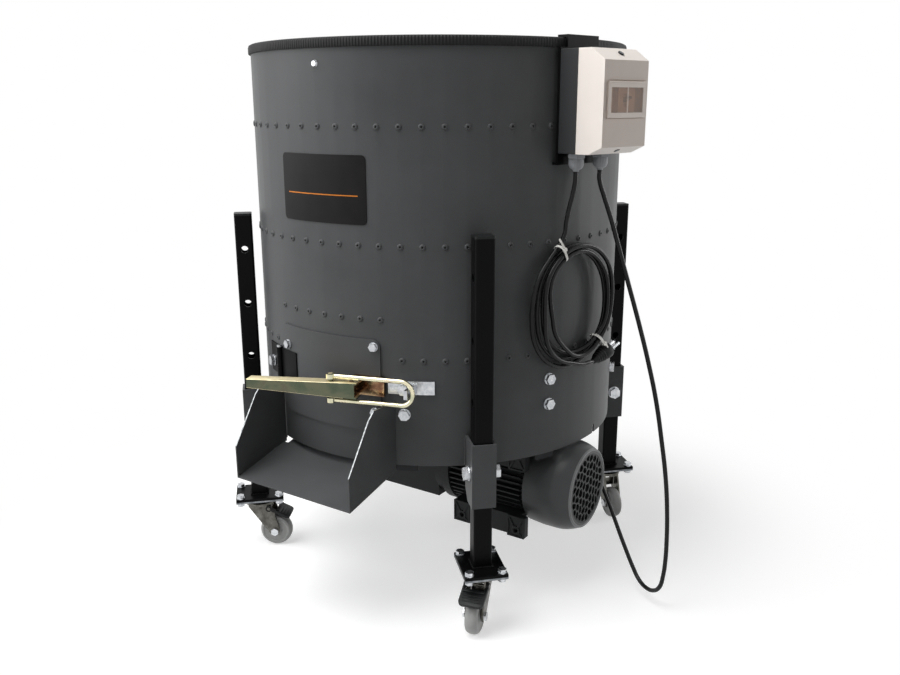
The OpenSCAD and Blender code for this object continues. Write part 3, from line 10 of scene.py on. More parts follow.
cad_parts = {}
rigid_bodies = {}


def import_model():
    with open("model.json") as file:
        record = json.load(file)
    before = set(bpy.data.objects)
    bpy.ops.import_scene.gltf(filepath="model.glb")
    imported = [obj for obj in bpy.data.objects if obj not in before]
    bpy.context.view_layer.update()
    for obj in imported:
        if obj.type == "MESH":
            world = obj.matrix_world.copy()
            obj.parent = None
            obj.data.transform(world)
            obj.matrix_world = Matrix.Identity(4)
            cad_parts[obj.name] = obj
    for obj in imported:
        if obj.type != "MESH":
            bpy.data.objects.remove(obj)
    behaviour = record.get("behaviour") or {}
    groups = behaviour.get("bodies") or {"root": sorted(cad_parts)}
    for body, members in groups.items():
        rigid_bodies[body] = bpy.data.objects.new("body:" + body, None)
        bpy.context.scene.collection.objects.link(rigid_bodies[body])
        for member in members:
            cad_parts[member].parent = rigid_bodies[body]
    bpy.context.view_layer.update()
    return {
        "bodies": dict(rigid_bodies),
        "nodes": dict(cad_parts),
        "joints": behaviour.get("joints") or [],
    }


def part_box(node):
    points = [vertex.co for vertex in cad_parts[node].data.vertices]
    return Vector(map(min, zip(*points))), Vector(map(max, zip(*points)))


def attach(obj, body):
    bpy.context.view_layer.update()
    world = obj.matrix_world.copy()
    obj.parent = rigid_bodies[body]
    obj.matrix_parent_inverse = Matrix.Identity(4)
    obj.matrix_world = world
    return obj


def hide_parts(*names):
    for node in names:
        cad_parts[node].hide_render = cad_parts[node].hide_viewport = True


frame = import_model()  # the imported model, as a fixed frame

scene = bpy.context.scene
mm = 0.001
up = Vector((0, 0, 1))
nodes = frame["nodes"]
bodyOf = {name: body for name, node in nodes.items()
          for body, empty in frame["bodies"].items() if node.parent == empty}
brakedCasters = ("front_right", "front_left")
casters = brakedCasters + ("rear_right", "rear_left")


# Small helpers

def linear(hexColour):  # sRGB hex to linear RGBA
    parts = [int(hexColour[i:i + 2], 16) / 255 for i in (1, 3, 5)]
    return tuple(c / 12.92 if c <= 0.04045 else ((c + 0.055) / 1.055) ** 2.4 for c in parts) + (1.0,)


def addNode(tree, kind, inputs=None, out=0, stops=(), **settings):
    # one node with its settings, links and colour stops, which gives back one output or itself
    node = tree.nodes.new(kind)
    for key, value in settings.items():
        setattr(node, key, value)
    for key, value in (inputs or {}).items():
        if isinstance(value, bpy.types.NodeSocket):
            tree.links.new(value, node.inputs[key])
        else:
            node.inputs[key].default_value = value
    if stops:
        elements = node.color_ramp.elements
        for element, (share, colour) in zip(elements, (stops[0], stops[-1])):
            element.position, element.color = share, colour
        for share, colour in stops[1:-1]:
            elements.new(share).color = colour
    return node if out is None else node.outputs[out]


def inMm(pairs):
    return [(a * mm, b * mm) for a, b in pairs]


def turned(degrees, axis):
    return Matrix.Rotation(math.radians(degrees), 4, axis)


def moved(x, y, z):  # a shift in millimetres
    return Matrix.Translation(Vector((x, y, z)) * mm)


def facing(direction):  # z along a direction
    return direction.to_track_quat("Z", "Y").to_matrix().to_4x4()


def wallPlace(azimuth, radius, height):  # x along the wall, y up, z outwards
    return turned(azimuth, "Z") @ Matrix.Translation((0, -radius, height)) @ turned(90, "X")


def wallPoint(azimuth, along, radius, height):  # from millimetres
    return wallPlace(azimuth, 0, 0) @ (Vector((along, height, radius)) * mm)


def smoothStep(t):
    t = min(max(t, 0.0), 1.0)
    return t * t * (3 - 2 * t)


def jointOf(name):  # the joint that a node's body turns on
    return next(joint for joint in frame["joints"] if joint["child"] == bodyOf[name])


def addObject(name, data):
    made = bpy.data.objects.new(name, data)
    scene.collection.objects.link(made)
    return made


def smoothMesh(name, bm, crease=180):  # edges sharper than the crease stay sharp
    bmesh.ops.recalc_face_normals(bm, faces=bm.faces)
    for face in bm.faces:
        face.smooth = True
    for edge in bm.edges:
        edge.smooth = edge.calc_face_angle(0) < math.radians(crease)
    mesh = bpy.data.meshes.new(name)
    bm.to_mesh(mesh)
    bm.free()
    return mesh


def settle(piece, body, replaced=()):
    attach(piece, body)
    if replaced:
        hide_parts(*replaced)
    return piece


def finishPiece(name, bm, materials, body, replaced=(), crease=36):
    mesh = smoothMesh(name, bm, crease)
    for material in materials:
        mesh.materials.append(material)
    return settle(addObject(name, mesh), body, replaced)


def lathe(bm, profile, segments, place, closed=False, materialIndex=0):
    rings = []
    for radius, height in profile:
        count = 1 if radius < 1e-7 else segments
        angles = [2 * math.pi * k / segments for k in range(count)]
        rings.append([bm.verts.new(place @ Vector((radius * math.cos(a), radius * math.sin(a), height)))
                      for a in angles])
    for a, b in zip(rings, rings[1:] + (rings[:1] if closed else [])):
        for k in range(segments):
            corners = [a[k % len(a)], a[(k + 1) % len(a)], b[(k + 1) % len(b)], b[k % len(b)]]
            corners = list(dict.fromkeys(corners))
            if len(corners) > 2:
                bm.faces.new(corners).material_index = materialIndex


def rounded(points, radius, steps=4):  # a profile with its inner corners rounded off
    result = [points[0]]
    for before, corner, after in zip(points, points[1:], points[2:]):
        p, c, n = Vector(before), Vector(corner), Vector(after)
        reach = min(radius, (p - c).length * 0.45, (n - c).length * 0.45)
        start, end = c + (p - c).normalized() * reach, c + (n - c).normalized() * reach
        for k in range(steps + 1):
            t = k / steps
            result.append(tuple(start.lerp(c, t).lerp(c.lerp(end, t), t)))
    return result + [points[-1]]


def easeEdges(bm, edges, reachMm, segments=2, materialIndex=-1):  # -1 keeps the finish beside the edge
    bmesh.ops.bevel(bm, geom=edges, offset=reachMm * mm, offset_type="OFFSET", segments=segments, profile=0.5,
                    affect="EDGES", clamp_overlap=True, material=materialIndex)


def easedBlock(bm, place, size, reachMm):  # a block with bevelled edges, its size in millimetres
    sides = [side * mm for side in size]
    made = bmesh.ops.create_cube(bm, size=1.0, matrix=place @ Matrix.Diagonal((*sides, 1.0)))
    easeEdges(bm, list({edge for vert in made["verts"] for edge in vert.link_edges}), reachMm)


# The switch box's own directions on the drum's wall

boxAzimuth = 75.5
boxTurn = wallPlace(boxAzimuth, 0, 0).to_3x3()
boxSideways, boxOutward = boxTurn @ Vector((1, 0, 0)), boxTurn @ Vector((0, 0, 1))


def boxSide(along, radius, height):  # a point beside the switch box, from millimetres
    return wallPoint(boxAzimuth, along, radius, height)


# Finishes: skins and grains are drawn a little coarser than they are, so that they show

cloudRange = {"From Min": 0.3, "From Max": 0.7}  # where nearly all of a noise's values lie


def startMaterial(name, sockets):  # a Principled material with its fixed values on its own sockets
    material = bpy.data.materials.new(name)
    material.use_nodes = True
    tree = material.node_tree
    for key, value in sockets.items():
        tree.nodes["Principled BSDF"].inputs[key].default_value = value
    return material, tree, addNode(tree, "ShaderNodeTexCoord", None, "Object")


def connect(tree, sockets):  # what the shader's sockets follow
    for key, value in sockets.items():
        tree.links.new(value, tree.nodes["Principled BSDF"].inputs[key])


def perSize(sizeMm):  # a noise's scale from the size of its grains
    return 1 / (sizeMm * mm)


def shades(colour, share):  # a colour made darker and lighter by a share
    base = Vector(linear(colour)[:3])
    return [tuple(base * (1 + side * share)) + (1,) for side in (-1, 1)]


def cloudyCoat(tree, place, cloud, stops, roughness):  # colour and roughness that drift together
    drift = addNode(tree, "ShaderNodeTexNoise", {"Vector": place, **cloud})
    tint = addNode(tree, "ShaderNodeValToRGB", {"Fac": drift}, stops=stops)
    sheen = addNode(tree, "ShaderNodeMapRange", {
        "Value": drift, **cloudRange, "To Min": roughness[0], "To Max": roughness[1]})
    connect(tree, {"Base Color": tint, "Roughness": sheen})


def fineSkin(tree, place, grainMm, depthMm, strength):  # a fine relief that catches the light
    grain = addNode(tree, "ShaderNodeTexNoise", {"Vector": place, "Scale": perSize(grainMm), "Detail": 2.0})
    skin = addNode(tree, "ShaderNodeBump", {"Height": grain, "Strength": strength, "Distance": depthMm * mm})
    connect(tree, {"Normal": skin})


def powderCoat(name, colour, roughness, peelMm, depthMm, dust, shine):
    # baked powder: satin, with an orange-peel skin and faint handling marks
    marks = {"Scale": perSize(90), "Detail": 6.0, "Roughness": 0.62}
    material, tree, place = startMaterial(name, {"IOR": 1.5, "Specular IOR Level": shine})
    dark, pale = shades(colour, dust)
    cloudyCoat(tree, place, marks, [(0.3, dark), (0.75, pale)], (roughness - 0.05, roughness + 0.06))
    fineSkin(tree, place, peelMm, depthMm, 0.5)
    return material


def platedMetal(name, colour, shade, roughness, spotMm, scratchMm=0.0):
    # plated or bare metal: cloudy colour, uneven shine, fine scratches where it was worked
    scratchDepth = 0.05
    spots = {"Scale": perSize(spotMm), "Detail": 4.0, "Roughness": 0.6}
    material, tree, place = startMaterial(name, {"Metallic": 1.0})
    cloudyCoat(tree, place, spots, [(0.32, linear(shade)), (0.68, linear(colour))],
               (roughness + 0.1, roughness - 0.06))
    if scratchMm:
        stretch = addNode(tree, "ShaderNodeMapping", {"Vector": place, "Scale": (1, 1, 14)})
        lines = addNode(tree, "ShaderNodeTexNoise", {
            "Vector": stretch, "Scale": perSize(scratchMm), "Detail": 3.0})
        grooves = addNode(tree, "ShaderNodeBump", {
            "Height": lines, "Strength": 0.35, "Distance": scratchDepth * mm})
        connect(tree, {"Normal": grooves})
    return material


def mouldedPlastic(name, colour, roughness, grainMm, depthMm, fade=0.06):
    # injection-moulded plastic: an even colour with a spark-eroded grain
    cloud = {"Scale": perSize(45), "Detail": 5.0}
    material, tree, place = startMaterial(name, {"IOR": 1.49, "Specular IOR Level": 0.2})
    dark, pale = shades(colour, fade)
    cloudyCoat(tree, place, cloud, [(0.3, dark), (0.7, pale)], (roughness - 0.04, roughness + 0.05))
    fineSkin(tree, place, grainMm, depthMm, 0.4)
    return material


def trimFinish():  # extruded edge rubber: dull, with close ribs across its back
    trimLook = {"ribs": 420.0, "ribDepth": 0.5, "bloomSize": 40}  # millimetres, but for the count
    material, tree, place = startMaterial("black_edge_rubber", {"IOR": 1.5, "Specular IOR Level": 0.16})
    axes = addNode(tree, "ShaderNodeSeparateXYZ", {"Vector": place}, None).outputs
    around = addNode(tree, "ShaderNodeMath", {0: axes["Y"], 1: axes["X"]}, operation="ARCTAN2")
    ribs = addNode(tree, "ShaderNodeMath", {0: around, 1: trimLook["ribs"]}, operation="MULTIPLY")
    wave = addNode(tree, "ShaderNodeMath", {0: ribs}, operation="SINE")
    bloom = addNode(tree, "ShaderNodeTexNoise", {
        "Vector": place, "Scale": perSize(trimLook["bloomSize"]), "Detail": 5.0})
    tint = addNode(tree, "ShaderNodeMix", {
        "Factor": bloom, "A": linear("#151516"), "B": linear("#262627")}, "Result", data_type="RGBA")
    dull = addNode(tree, "ShaderNodeMapRange", {"Value": bloom, **cloudRange, "To Min": 0.5, "To Max": 0.66})
    skin = addNode(tree, "ShaderNodeBump", {
        "Height": wave, "Strength": 0.7, "Distance": trimLook["ribDepth"] * mm})
    connect(tree, {"Base Color": tint, "Roughness": dull, "Normal": skin})
    return material


def rivetBoreFinish():  # the open core of a pop rivet: bare steel in deep shade
    spotSize = 2
    material, tree, place = startMaterial("rivet_core_shade", {"Metallic": 0.6, "Roughness": 0.6})
    cloud = addNode(tree, "ShaderNodeTexNoise", {"Vector": place, "Scale": perSize(spotSize)})
    tint = addNode(tree, "ShaderNodeMix", {
        "Factor": cloud, "A": linear("#141414"), "B": linear("#262626")}, "Result", data_type="RGBA")
    connect(tree, {"Base Color": tint})
    return material


def passivatedFinish(name, colours):
    # yellow-passivated zinc: one tint drifts into the next as the film's thickness does, under a bright shine
    filmLook = {"filmSize": 26, "wipeSize": 7, "wipeDepth": 0.06, "shares": (0.28, 0.42, 0.56, 0.74)}
    material, tree, place = startMaterial(name, {"Metallic": 1.0})
    film = addNode(tree, "ShaderNodeTexNoise", {
        "Vector": place, "Scale": perSize(filmLook["filmSize"]), "Detail": 3.0, "Distortion": 0.6})
    tint = addNode(tree, "ShaderNodeValToRGB", {"Fac": film},
                   stops=[(share, linear(colour)) for share, colour in zip(filmLook["shares"], colours)])
    wipe = addNode(tree, "ShaderNodeTexNoise", {
        "Vector": place, "Scale": perSize(filmLook["wipeSize"]), "Detail": 5.0})
    shine = addNode(tree, "ShaderNodeMapRange", {"Value": wipe, **cloudRange, "To Min": 0.16, "To Max": 0.3})
    dent = addNode(tree, "ShaderNodeBump", {
        "Height": wipe, "Strength": 0.3, "Distance": filmLook["wipeDepth"] * mm})
    connect(tree, {"Base Color": tint, "Roughness": shine, "Normal": dent})
    return material


def bandMask(tree, value, lowMm, highMm):  # 1 between two places, else 0
    above = addNode(tree, "ShaderNodeMath", {0: value, 1: lowMm * mm}, operation="GREATER_THAN")
    below = addNode(tree, "ShaderNodeMath", {0: value, 1: highMm * mm}, operation="LESS_THAN")
    return addNode(tree, "ShaderNodeMath", {0: above, 1: below}, operation="MULTIPLY")


def labelFinish():  # a black vinyl plate without print, but for one thin orange rule
    ruleSpec = {"across": (-57, 57), "level": (568.3, 569.7), "cloudSize": 30}  # millimetres
    material, tree, place = startMaterial("black_vinyl_plate", {"IOR": 1.5, "Specular IOR Level": 0.1})
    axes = addNode(tree, "ShaderNodeSeparateXYZ", {"Vector": place}, None).outputs
    cloud = addNode(tree, "ShaderNodeTexNoise", {
        "Vector": place, "Scale": perSize(ruleSpec["cloudSize"]), "Detail": 5.0})
    film = addNode(tree, "ShaderNodeMix", {
        "Factor": cloud, "A": linear("#131213"), "B": linear("#1e1c1c")}, "Result", data_type="RGBA")
    across = bandMask(tree, axes["X"], *ruleSpec["across"])
    level = bandMask(tree, axes["Z"], *ruleSpec["level"])
    rule = addNode(tree, "ShaderNodeMath", {0: across, 1: level}, operation="MULTIPLY")
    tint = addNode(tree, "ShaderNodeMix", {
        "Factor": rule, "A": film, "B": linear("#c9772c")}, "Result", data_type="RGBA")
    gloss = addNode(tree, "ShaderNodeMapRange", {"Value": cloud, **cloudRange, "To Min": 0.3, "To Max": 0.42})
    connect(tree, {"Base Color": tint, "Roughness": gloss})
    return material


def clearFlapFinish():  # a beige frame with two panes of clear, warm, faintly hazed polycarbonate
    paneSpec = {"left": (-30, 0.5), "right": (2, 31), "level": (668, 697), "hazeSize": 12}  # millimetres
    material, tree, place = startMaterial("clear_window_plastic", {"IOR": 1.5})
    haze = addNode(tree, "ShaderNodeTexNoise", {
        "Vector": place, "Scale": perSize(paneSpec["hazeSize"]), "Detail": 4.0})
    along = addNode(tree, "ShaderNodeVectorMath", {0: place, 1: tuple(boxSideways)}, "Value",
                    operation="DOT_PRODUCT")
    height = addNode(tree, "ShaderNodeSeparateXYZ", {"Vector": place}, "Z")
    left, right = (bandMask(tree, along, *paneSpec[side]) for side in ("left", "right"))
    panes = addNode(tree, "ShaderNodeMath", {0: left, 1: right}, operation="ADD")
    level = bandMask(tree, height, *paneSpec["level"])
    clear = addNode(tree, "ShaderNodeMath", {0: panes, 1: level}, operation="MULTIPLY")
    through = addNode(tree, "ShaderNodeMath", {0: clear, 1: 0.82}, operation="MULTIPLY")
    soft = addNode(tree, "ShaderNodeMapRange", {"Value": haze, "To Min": 0.02, "To Max": 0.07})
    finish = addNode(tree, "ShaderNodeMix", {"Factor": clear, "A": 0.44, "B": soft}, "Result",
                     data_type="FLOAT")
    warm = addNode(tree, "ShaderNodeMix", {
        "Factor": haze, "A": linear("#c9ad99"), "B": linear("#d8bfac")}, "Result", data_type="RGBA")
    tint = addNode(tree, "ShaderNodeMix", {
        "Factor": clear, "A": linear("#cbbfb6"), "B": warm}, "Result", data_type="RGBA")
    connect(tree, {"Transmission Weight": through, "Roughness": finish, "Base Color": tint})
    return material


def starterFinish():  # the starter's pale front, with its red-brown push key behind the left pane
    keySpec = {"across": (-17, -6), "cloudSize": 14}  # millimetres
    material, tree, place = startMaterial("starter_front_plastic", {"IOR": 1.49})
    cloud = addNode(tree, "ShaderNodeTexNoise", {
        "Vector": place, "Scale": perSize(keySpec["cloudSize"]), "Detail": 4.0})
    along = addNode(tree, "ShaderNodeVectorMath", {0: place, 1: tuple(boxSideways)}, "Value",
                    operation="DOT_PRODUCT")
    key = bandMask(tree, along, *keySpec["across"])
    pale = addNode(tree, "ShaderNodeMix", {
        "Factor": cloud, "A": linear("#eadfd4"), "B": linear("#f6ede4")}, "Result", data_type="RGBA")
    tint = addNode(tree, "ShaderNodeMix", {
        "Factor": key, "A": pale, "B": linear("#6b3826")}, "Result", data_type="RGBA")
    polish = addNode(tree, "ShaderNodeMapRange", {
        "Value": cloud, **cloudRange, "To Min": 0.36, "To Max": 0.5})
    connect(tree, {"Base Color": tint, "Roughness": polish})
    return material


# drum, door, chute and sleeves: even dark grey with a soft sheen
satinGreyCoat = powderCoat("satin_grey_powder_coat", "#4b4c4d", 0.42, 1.6, 0.05, 0.12, 0.16)
# legs, foot plates and bracket: near black, hardly any shine
satinBlackCoat = powderCoat("satin_black_powder_coat", "#09090a", 0.38, 1.4, 0.05, 0.2, 0.07)
# frame and straps under the drum: thin dull paint
frameBlackCoat = powderCoat("dark_frame_paint", "#262729", 0.5, 1.8, 0.06, 0.2, 0.15)
# motor and gearbox: paint over the rough skin of a casting
castMotorPaint = powderCoat("painted_aluminium_casting", "#2b2c2d", 0.46, 2.4, 0.16, 0.16, 0.14)
# metals, from clean plating to bare and worked surfaces
brightZinc = platedMetal("bright_zinc_plate", "#d5d7d9", "#aeb1b5", 0.28, 6)
darkRivetSteel = platedMetal("dark_stainless_rivet", "#77797c", "#4e5053", 0.36, 5)
pressedZinc = platedMetal("pressed_zinc_steel", "#8f9295", "#5f6266", 0.32, 9)
smokedZinc = platedMetal("smoked_zinc_steel", "#6c6b66", "#474540", 0.27, 11)
# a pale straw zinc for the lever's top and folds: a painted highlight
paintedStrawHighlight = platedMetal("straw_zinc_painted_highlight", "#e4dab8", "#cec29c", 0.5, 8)
turnedSteel = platedMetal("turned_steel", "#b4b7ba", "#8d9195", 0.32, 14, 2.2)
raspSteel = platedMetal("punched_rasp_sheet", "#a6a9ac", "#7d8184", 0.4, 20, 3.0)
gearBronze = platedMetal("gear_bronze", "#b9924c", "#92692f", 0.36, 10)
# pale steel on the chute's lit rims: a painted highlight
chuteRimHighlight = platedMetal("chute_rim_painted_highlight", "#a3a5a6", "#75787a", 0.4, 4)
# plastics: matt housings, a painted highlight on the cowl's lip, glossier nylon and cord
cowlPlastic = mouldedPlastic("dark_grey_cowl_plastic", "#4b4c4d", 0.34, 0.9, 0.03)
# a paler cowl plastic for the lip's bead: a painted highlight
cowlRimHighlight = mouldedPlastic("cowl_rim_painted_highlight", "#7b7c7d", 0.32, 0.9, 0.03)
coverPlastic = mouldedPlastic("off_white_housing_plastic", "#e8e0d9", 0.4, 0.8, 0.02, 0.02)
frontPlastic = mouldedPlastic("beige_grey_front_panel", "#cfc3ba", 0.46, 0.8, 0.02, 0.03)
basePlastic = mouldedPlastic("anthracite_housing_plastic", "#2e2f30", 0.45, 0.8, 0.03)
blackPlastic = mouldedPlastic("black_glass_filled_nylon", "#161718", 0.44, 0.8, 0.04, 0.15)
nylonWheelGrey = mouldedPlastic("grey_nylon_wheel", "#a6a7a5", 0.42, 1.2, 0.03, 0.08)
glandGrey = mouldedPlastic("grey_nylon_gland", "#8f9295", 0.4, 0.8, 0.02)
tieWhite = mouldedPlastic("white_nylon_tie", "#ecebe6", 0.36, 0.8, 0.02, 0.02)
cordSheath = mouldedPlastic("black_cord_sheath", "#131314", 0.25, 1.0, 0.02, 0.15)
# latch: a lever whose straw zinc is darkened to green-grey as a painted dark reflection, a rosy base and pale
# straw wire
yellowPassivate = passivatedFinish("yellow_passivated_zinc", ("#4e5749", "#59604f", "#686a57", "#615b4f"))
rosyPassivate = passivatedFinish("rosy_passivated_zinc", ("#5f4335", "#86644d", "#b79c79", "#8e7866"))
paleWire = passivatedFinish("pale_passivated_wire", ("#b9bda6", "#d3d0b2", "#e6dfc0", "#cdb9a4"))
rivetBore, clearFlap, labelFilm = rivetBoreFinish(), clearFlapFinish(), labelFinish()
trimRubber, starterFront = trimFinish(), starterFinish()
print("finishes ready")


# Camera, at the photograph's place

cameraSpec = {"lens": 35.28, "sensor": 36, "place": (0.7547, -1.1064, 0.6816),
              "heading": 33.546, "pitch": 15.0, "roll": 0.1}
camera = addObject("photoCamera", bpy.data.cameras.new("photoCamera"))
camera.data.lens = cameraSpec["lens"]
camera.data.sensor_width = cameraSpec["sensor"]
camera.location = cameraSpec["place"]
tilt = (90 - cameraSpec["pitch"], cameraSpec["roll"], cameraSpec["heading"])
camera.rotation_euler = [math.radians(angle) for angle in tilt]
scene.camera = camera
scene.view_settings.view_transform = "Standard"


# Cords: the same routes as the solids

cordSpec = {
    "diameter": 6 * mm,
    "coilFace": 267.2, "coilCentre": (-3, 425), "coilStraight": 8,  # millimetres
    "passes": [(77, 5.2), (69, 4.8), (61, 5.2), (61, 13.2), (69, 13.4), (77.5, 13.0)],  # radius, off the wall
    "bundleMiddle": 69, "outOfRound": 1.6, "sag": 10,
    "crossAt": 270, "crossSooner": 50, "crossSpan": 90,  # degrees: where a turn moves over to its next place
    "pointsPerTurn": 24, "turns": 4.375, "startAngle": 130, "tieAngles": (118, -46),
}
glandSpec = {"along": 23.5, "radius": 285.9, "top": 619, "cordEnd": 597, "motorExit": (194, 47, 146),
             "collar": 11.6, "ribs": 18, "ribDepth": 0.28, "ribbed": (6, 15)}  # millimetres


def curvePiece(name, points, diameter, material):  # one open spline through its points
    curve = bpy.data.curves.new(name, "CURVE")
    curve.dimensions = "3D"
    curve.bevel_depth = diameter / 2
    curve.bevel_resolution = 4
    curve.resolution_u = 6
    curve.use_fill_caps = True
    spline = curve.splines.new("BEZIER")
    spline.bezier_points.add(len(points) - 1)
    for bezierPoint, point in zip(spline.bezier_points, points):
        bezierPoint.co = point
        bezierPoint.handle_left_type = bezierPoint.handle_right_type = "AUTO"
    curve.materials.append(material)
    return addObject(name, curve)


def coilPoints(spec):
    # each pass keeps its own place in the bundle, crosses to the next one ahead of the pass below it,
    # and fans out between the ties
    centreX, centreZ = spec["coilCentre"]
    middle, passes = spec["bundleMiddle"], spec["passes"]
    result = []
    for i in range(int(spec["turns"] * spec["pointsPerTurn"]) + 1):
        swept = i * 360 / spec["pointsPerTurn"]
        turn = min(int(swept // 360), len(passes) - 2)
        crossing = 360 * turn + spec["crossAt"] - spec["crossSooner"] * turn
        share = smoothStep((swept - crossing) / spec["crossSpan"] + 0.5)
        radius, depth = (a * (1 - share) + b * share for a, b in zip(passes[turn], passes[turn + 1]))
        degrees = spec["startAngle"] + swept
        angle = math.radians(degrees)
        nearTie = max(math.cos(math.radians(degrees - tie)) for tie in spec["tieAngles"])
        fan = smoothStep((1 - nearTie) / 0.75)
        leftSide = smoothStep(0.5 - math.cos(math.radians(degrees - 30)))
        radius = middle + (radius - middle) * (0.82 + 0.5 * fan)
        radius -= spec["sag"] * fan * leftSide * smoothStep((depth - 5) / 8)
        radius += spec["outOfRound"] * math.sin(2 * angle + 0.7)
        rise = spec["coilStraight"] * max(-1, min(1, 3 * math.sin(angle)))
        result.append(boxSide(centreX + radius * math.cos(angle), spec["coilFace"] + depth,
                              centreZ + radius * math.sin(angle) + rise))
    return result


glandAlong, glandOut, cordEnd = (glandSpec[key] for key in ("along", "radius", "cordEnd"))
leadRoute = [(-glandAlong, glandOut, cordEnd), (-glandAlong, glandOut, 588), (-24, 284, 574), (-25, 281, 560),
             (-26, 278, 546), (-27, 276, 532), (-28, 275, 518)]  # the coil takes over from its last point
plugRoute = [(14, 280, 338.6), (26, 279.4, 338.4), (36, 278.2, 338)]
boxRoute = [(glandAlong, glandOut, cordEnd), (glandAlong, glandOut, 585)]
motorRoute = [
    (290, -49, 564), (301, -49, 536), (314, -49, 498), (330, -48, 450), (347, -48, 400), (362, -48, 352),
    (375, -48, 304), (386, -48, 250), (395, -48, 198), (400, -48, 150), (402, -48, 108), (402, -48, 78),
    (400, -47.5, 54), (395.5, -45, 36), (385.5, -39, 24), (371, -30.5, 19.5), (356.5, -22, 24),
    (344, -14.5, 36), (331, -7, 52), (317, 1.5, 70), (302, 11, 90), (286, 21.5, 110), (268, 33, 129),
    (250, 43, 141.5), (232, 47, 146), (216, 47, 146),
]
supplyPoints = [boxSide(*p) for p in leadRoute] + coilPoints(cordSpec) + [boxSide(*p) for p in plugRoute]
motorPoints = [boxSide(*p) for p in boxRoute] + [Vector(p) * mm for p in motorRoute]
supplyCord = curvePiece("supplyCord", supplyPoints, cordSpec["diameter"], cordSheath)
motorCord = curvePiece("motorCord", motorPoints, cordSpec["diameter"], cordSheath)
settle(supplyCord, "machine", ["supply_lead", "supply_coil"])
settle(motorCord, "machine", ["motor_cord"])


def splineLength(piece):
    sampled = piece.evaluated_get(bpy.context.evaluated_depsgraph_get()).data.splines[0].bezier_points
    total = 0.0
    for a, b in zip(sampled, sampled[1:]):
        line = interpolate_bezier(a.co, a.handle_right, b.handle_left, b.co, 12)
        total += sum((q - p).length for p, q in zip(line, line[1:]))
    return total


bpy.context.view_layer.update()
supplyLength, motorLength = splineLength(supplyCord), splineLength(motorCord)


def sweepBand(bm, points, side, width, thickness, closed):  # a flat strip with eased edges, laid along a line
    half, ease = width / 2, thickness * 0.3
    section = [(half, thickness / 2 - ease), (half - ease, thickness / 2),
               (-half + ease, thickness / 2), (-half, thickness / 2 - ease)]
    section += [(-a, -b) for a, b in section]
    rows = []
    for k, point in enumerate(points):
        before = points[k - 1] if closed or k else point
        after = points[(k + 1) % len(points)] if closed or k < len(points) - 1 else point
        outward = (after - before).normalized().cross(side)
        rows.append([bm.verts.new(point + side * a + outward * b) for a, b in section])
    for a, b in zip(rows, rows[1:] + (rows[:1] if closed else [])):
        for k in range(len(section)):
            bm.faces.new([a[k], a[(k + 1) % len(section)], b[(k + 1) % len(section)], b[k]])
    if not closed:
        bm.faces.new(rows[0])
        bm.faces.new(list(reversed(rows[-1])))


def tiesPiece():
    tieSpec = {"width": 3.6, "tailWidth": 2.88, "thickness": 1.1, "inner": 58.2, "outer": 80.6, "low": 1.0,
               "high": 17.6, "corner": 6.5, "tail": 17, "head": (4.6, 5.4, 3.4),
               "headPlace": (-4.5, 0.9)}  # millimetres
    corner = tieSpec["corner"]
    outer, inner = tieSpec["outer"] - corner, tieSpec["inner"] + corner
    low, high = tieSpec["low"] + corner, tieSpec["high"] - corner
    arcs = [(outer, low, -90), (outer, high, 0), (inner, high, 90), (inner, low, 180)]  # centre, start angle
    centreX, centreZ = cordSpec["coilCentre"]
    bm = bmesh.new()
    for degrees in cordSpec["tieAngles"]:
        rise = cordSpec["coilStraight"] if degrees > 0 else -cordSpec["coilStraight"]
        coil = wallPlace(boxAzimuth, cordSpec["coilFace"] * mm, 0) @ moved(centreX, centreZ + rise, 0)
        place = coil @ turned(degrees, "Z")
        side = (place.to_3x3() @ Vector((0, 1, 0))).normalized()
        loop = []
        for x, z, start in arcs:
            for k in range(9):
                turn = math.radians(start + 90 * k / 8)
                spot = Vector((x + corner * math.cos(turn), 0, z + corner * math.sin(turn)))
                loop.append(place @ (spot * mm))
        sweepBand(bm, loop, side, tieSpec["width"] * mm, tieSpec["thickness"] * mm, True)
        headX, headZ = tieSpec["headPlace"]
        head = place @ moved(tieSpec["outer"] + headX, 0, tieSpec["high"] + headZ)
        easedBlock(bm, head, tieSpec["head"], 0.5)
        tail = [head @ (Vector((t * tieSpec["tail"], 0.8 * math.sin(2 * t), 0.6 - 3.2 * t * t)) * mm)
                for t in [k / 8 for k in range(9)]]
        sweepBand(bm, tail, side, tieSpec["tailWidth"] * mm, tieSpec["thickness"] * mm, False)
    return finishPiece("cord_ties_finished", bm, [tieWhite], "machine", ["cord_ties"], 40)


def plugPiece():
    plugSpec = {"along": 36, "height": 338, "radius": 11, "pinGap": 9.5,  # millimetres
                "tilt": 20, "rings": 4}
    wall = wallPlace(boxAzimuth, (cordSpec["coilFace"] + plugSpec["radius"]) * mm, plugSpec["height"] * mm)
    place = wall @ moved(plugSpec["along"], 0, 0) @ turned(plugSpec["tilt"], "Z") @ turned(90, "Y")
    body = [(0, -1.5), (3.3, -1.5), (4.2, 0), (5.0, 4)]
    for k in range(plugSpec["rings"]):  # the grip's rings
        low, high = 6.6 + 0.9 * k, 7.2 + 0.9 * k
        body += [(low, 5.5 + 3.6 * k), (high, 6.6 + 3.6 * k), (low, 7.9 + 3.6 * k)]
    body += [(10.2, 21), (10.9, 23), (10.9, 32), (10.2, 33.6), (8.6, 34), (0, 34)]
    pin = [(0, 33.4), (2, 33.4), (2, 51.4), (1.6, 52.5), (0.8, 53), (0, 53)]
    bm = bmesh.new()
    lathe(bm, inMm(body), 40, place)
    for side in (-1, 1):
        lathe(bm, inMm(pin), 20, place @ moved(side * plugSpec["pinGap"] / 2, 0, 0), False, 1)
    return finishPiece("supply_plug_finished", bm, [blackPlastic, brightZinc], "machine", ["supply_plug"],
                       40)


cordTies, cordPlug = tiesPiece(), plugPiece()
print("cords laid", round(supplyLength, 3), round(motorLength, 3))


# CAD nodes that keep their shape

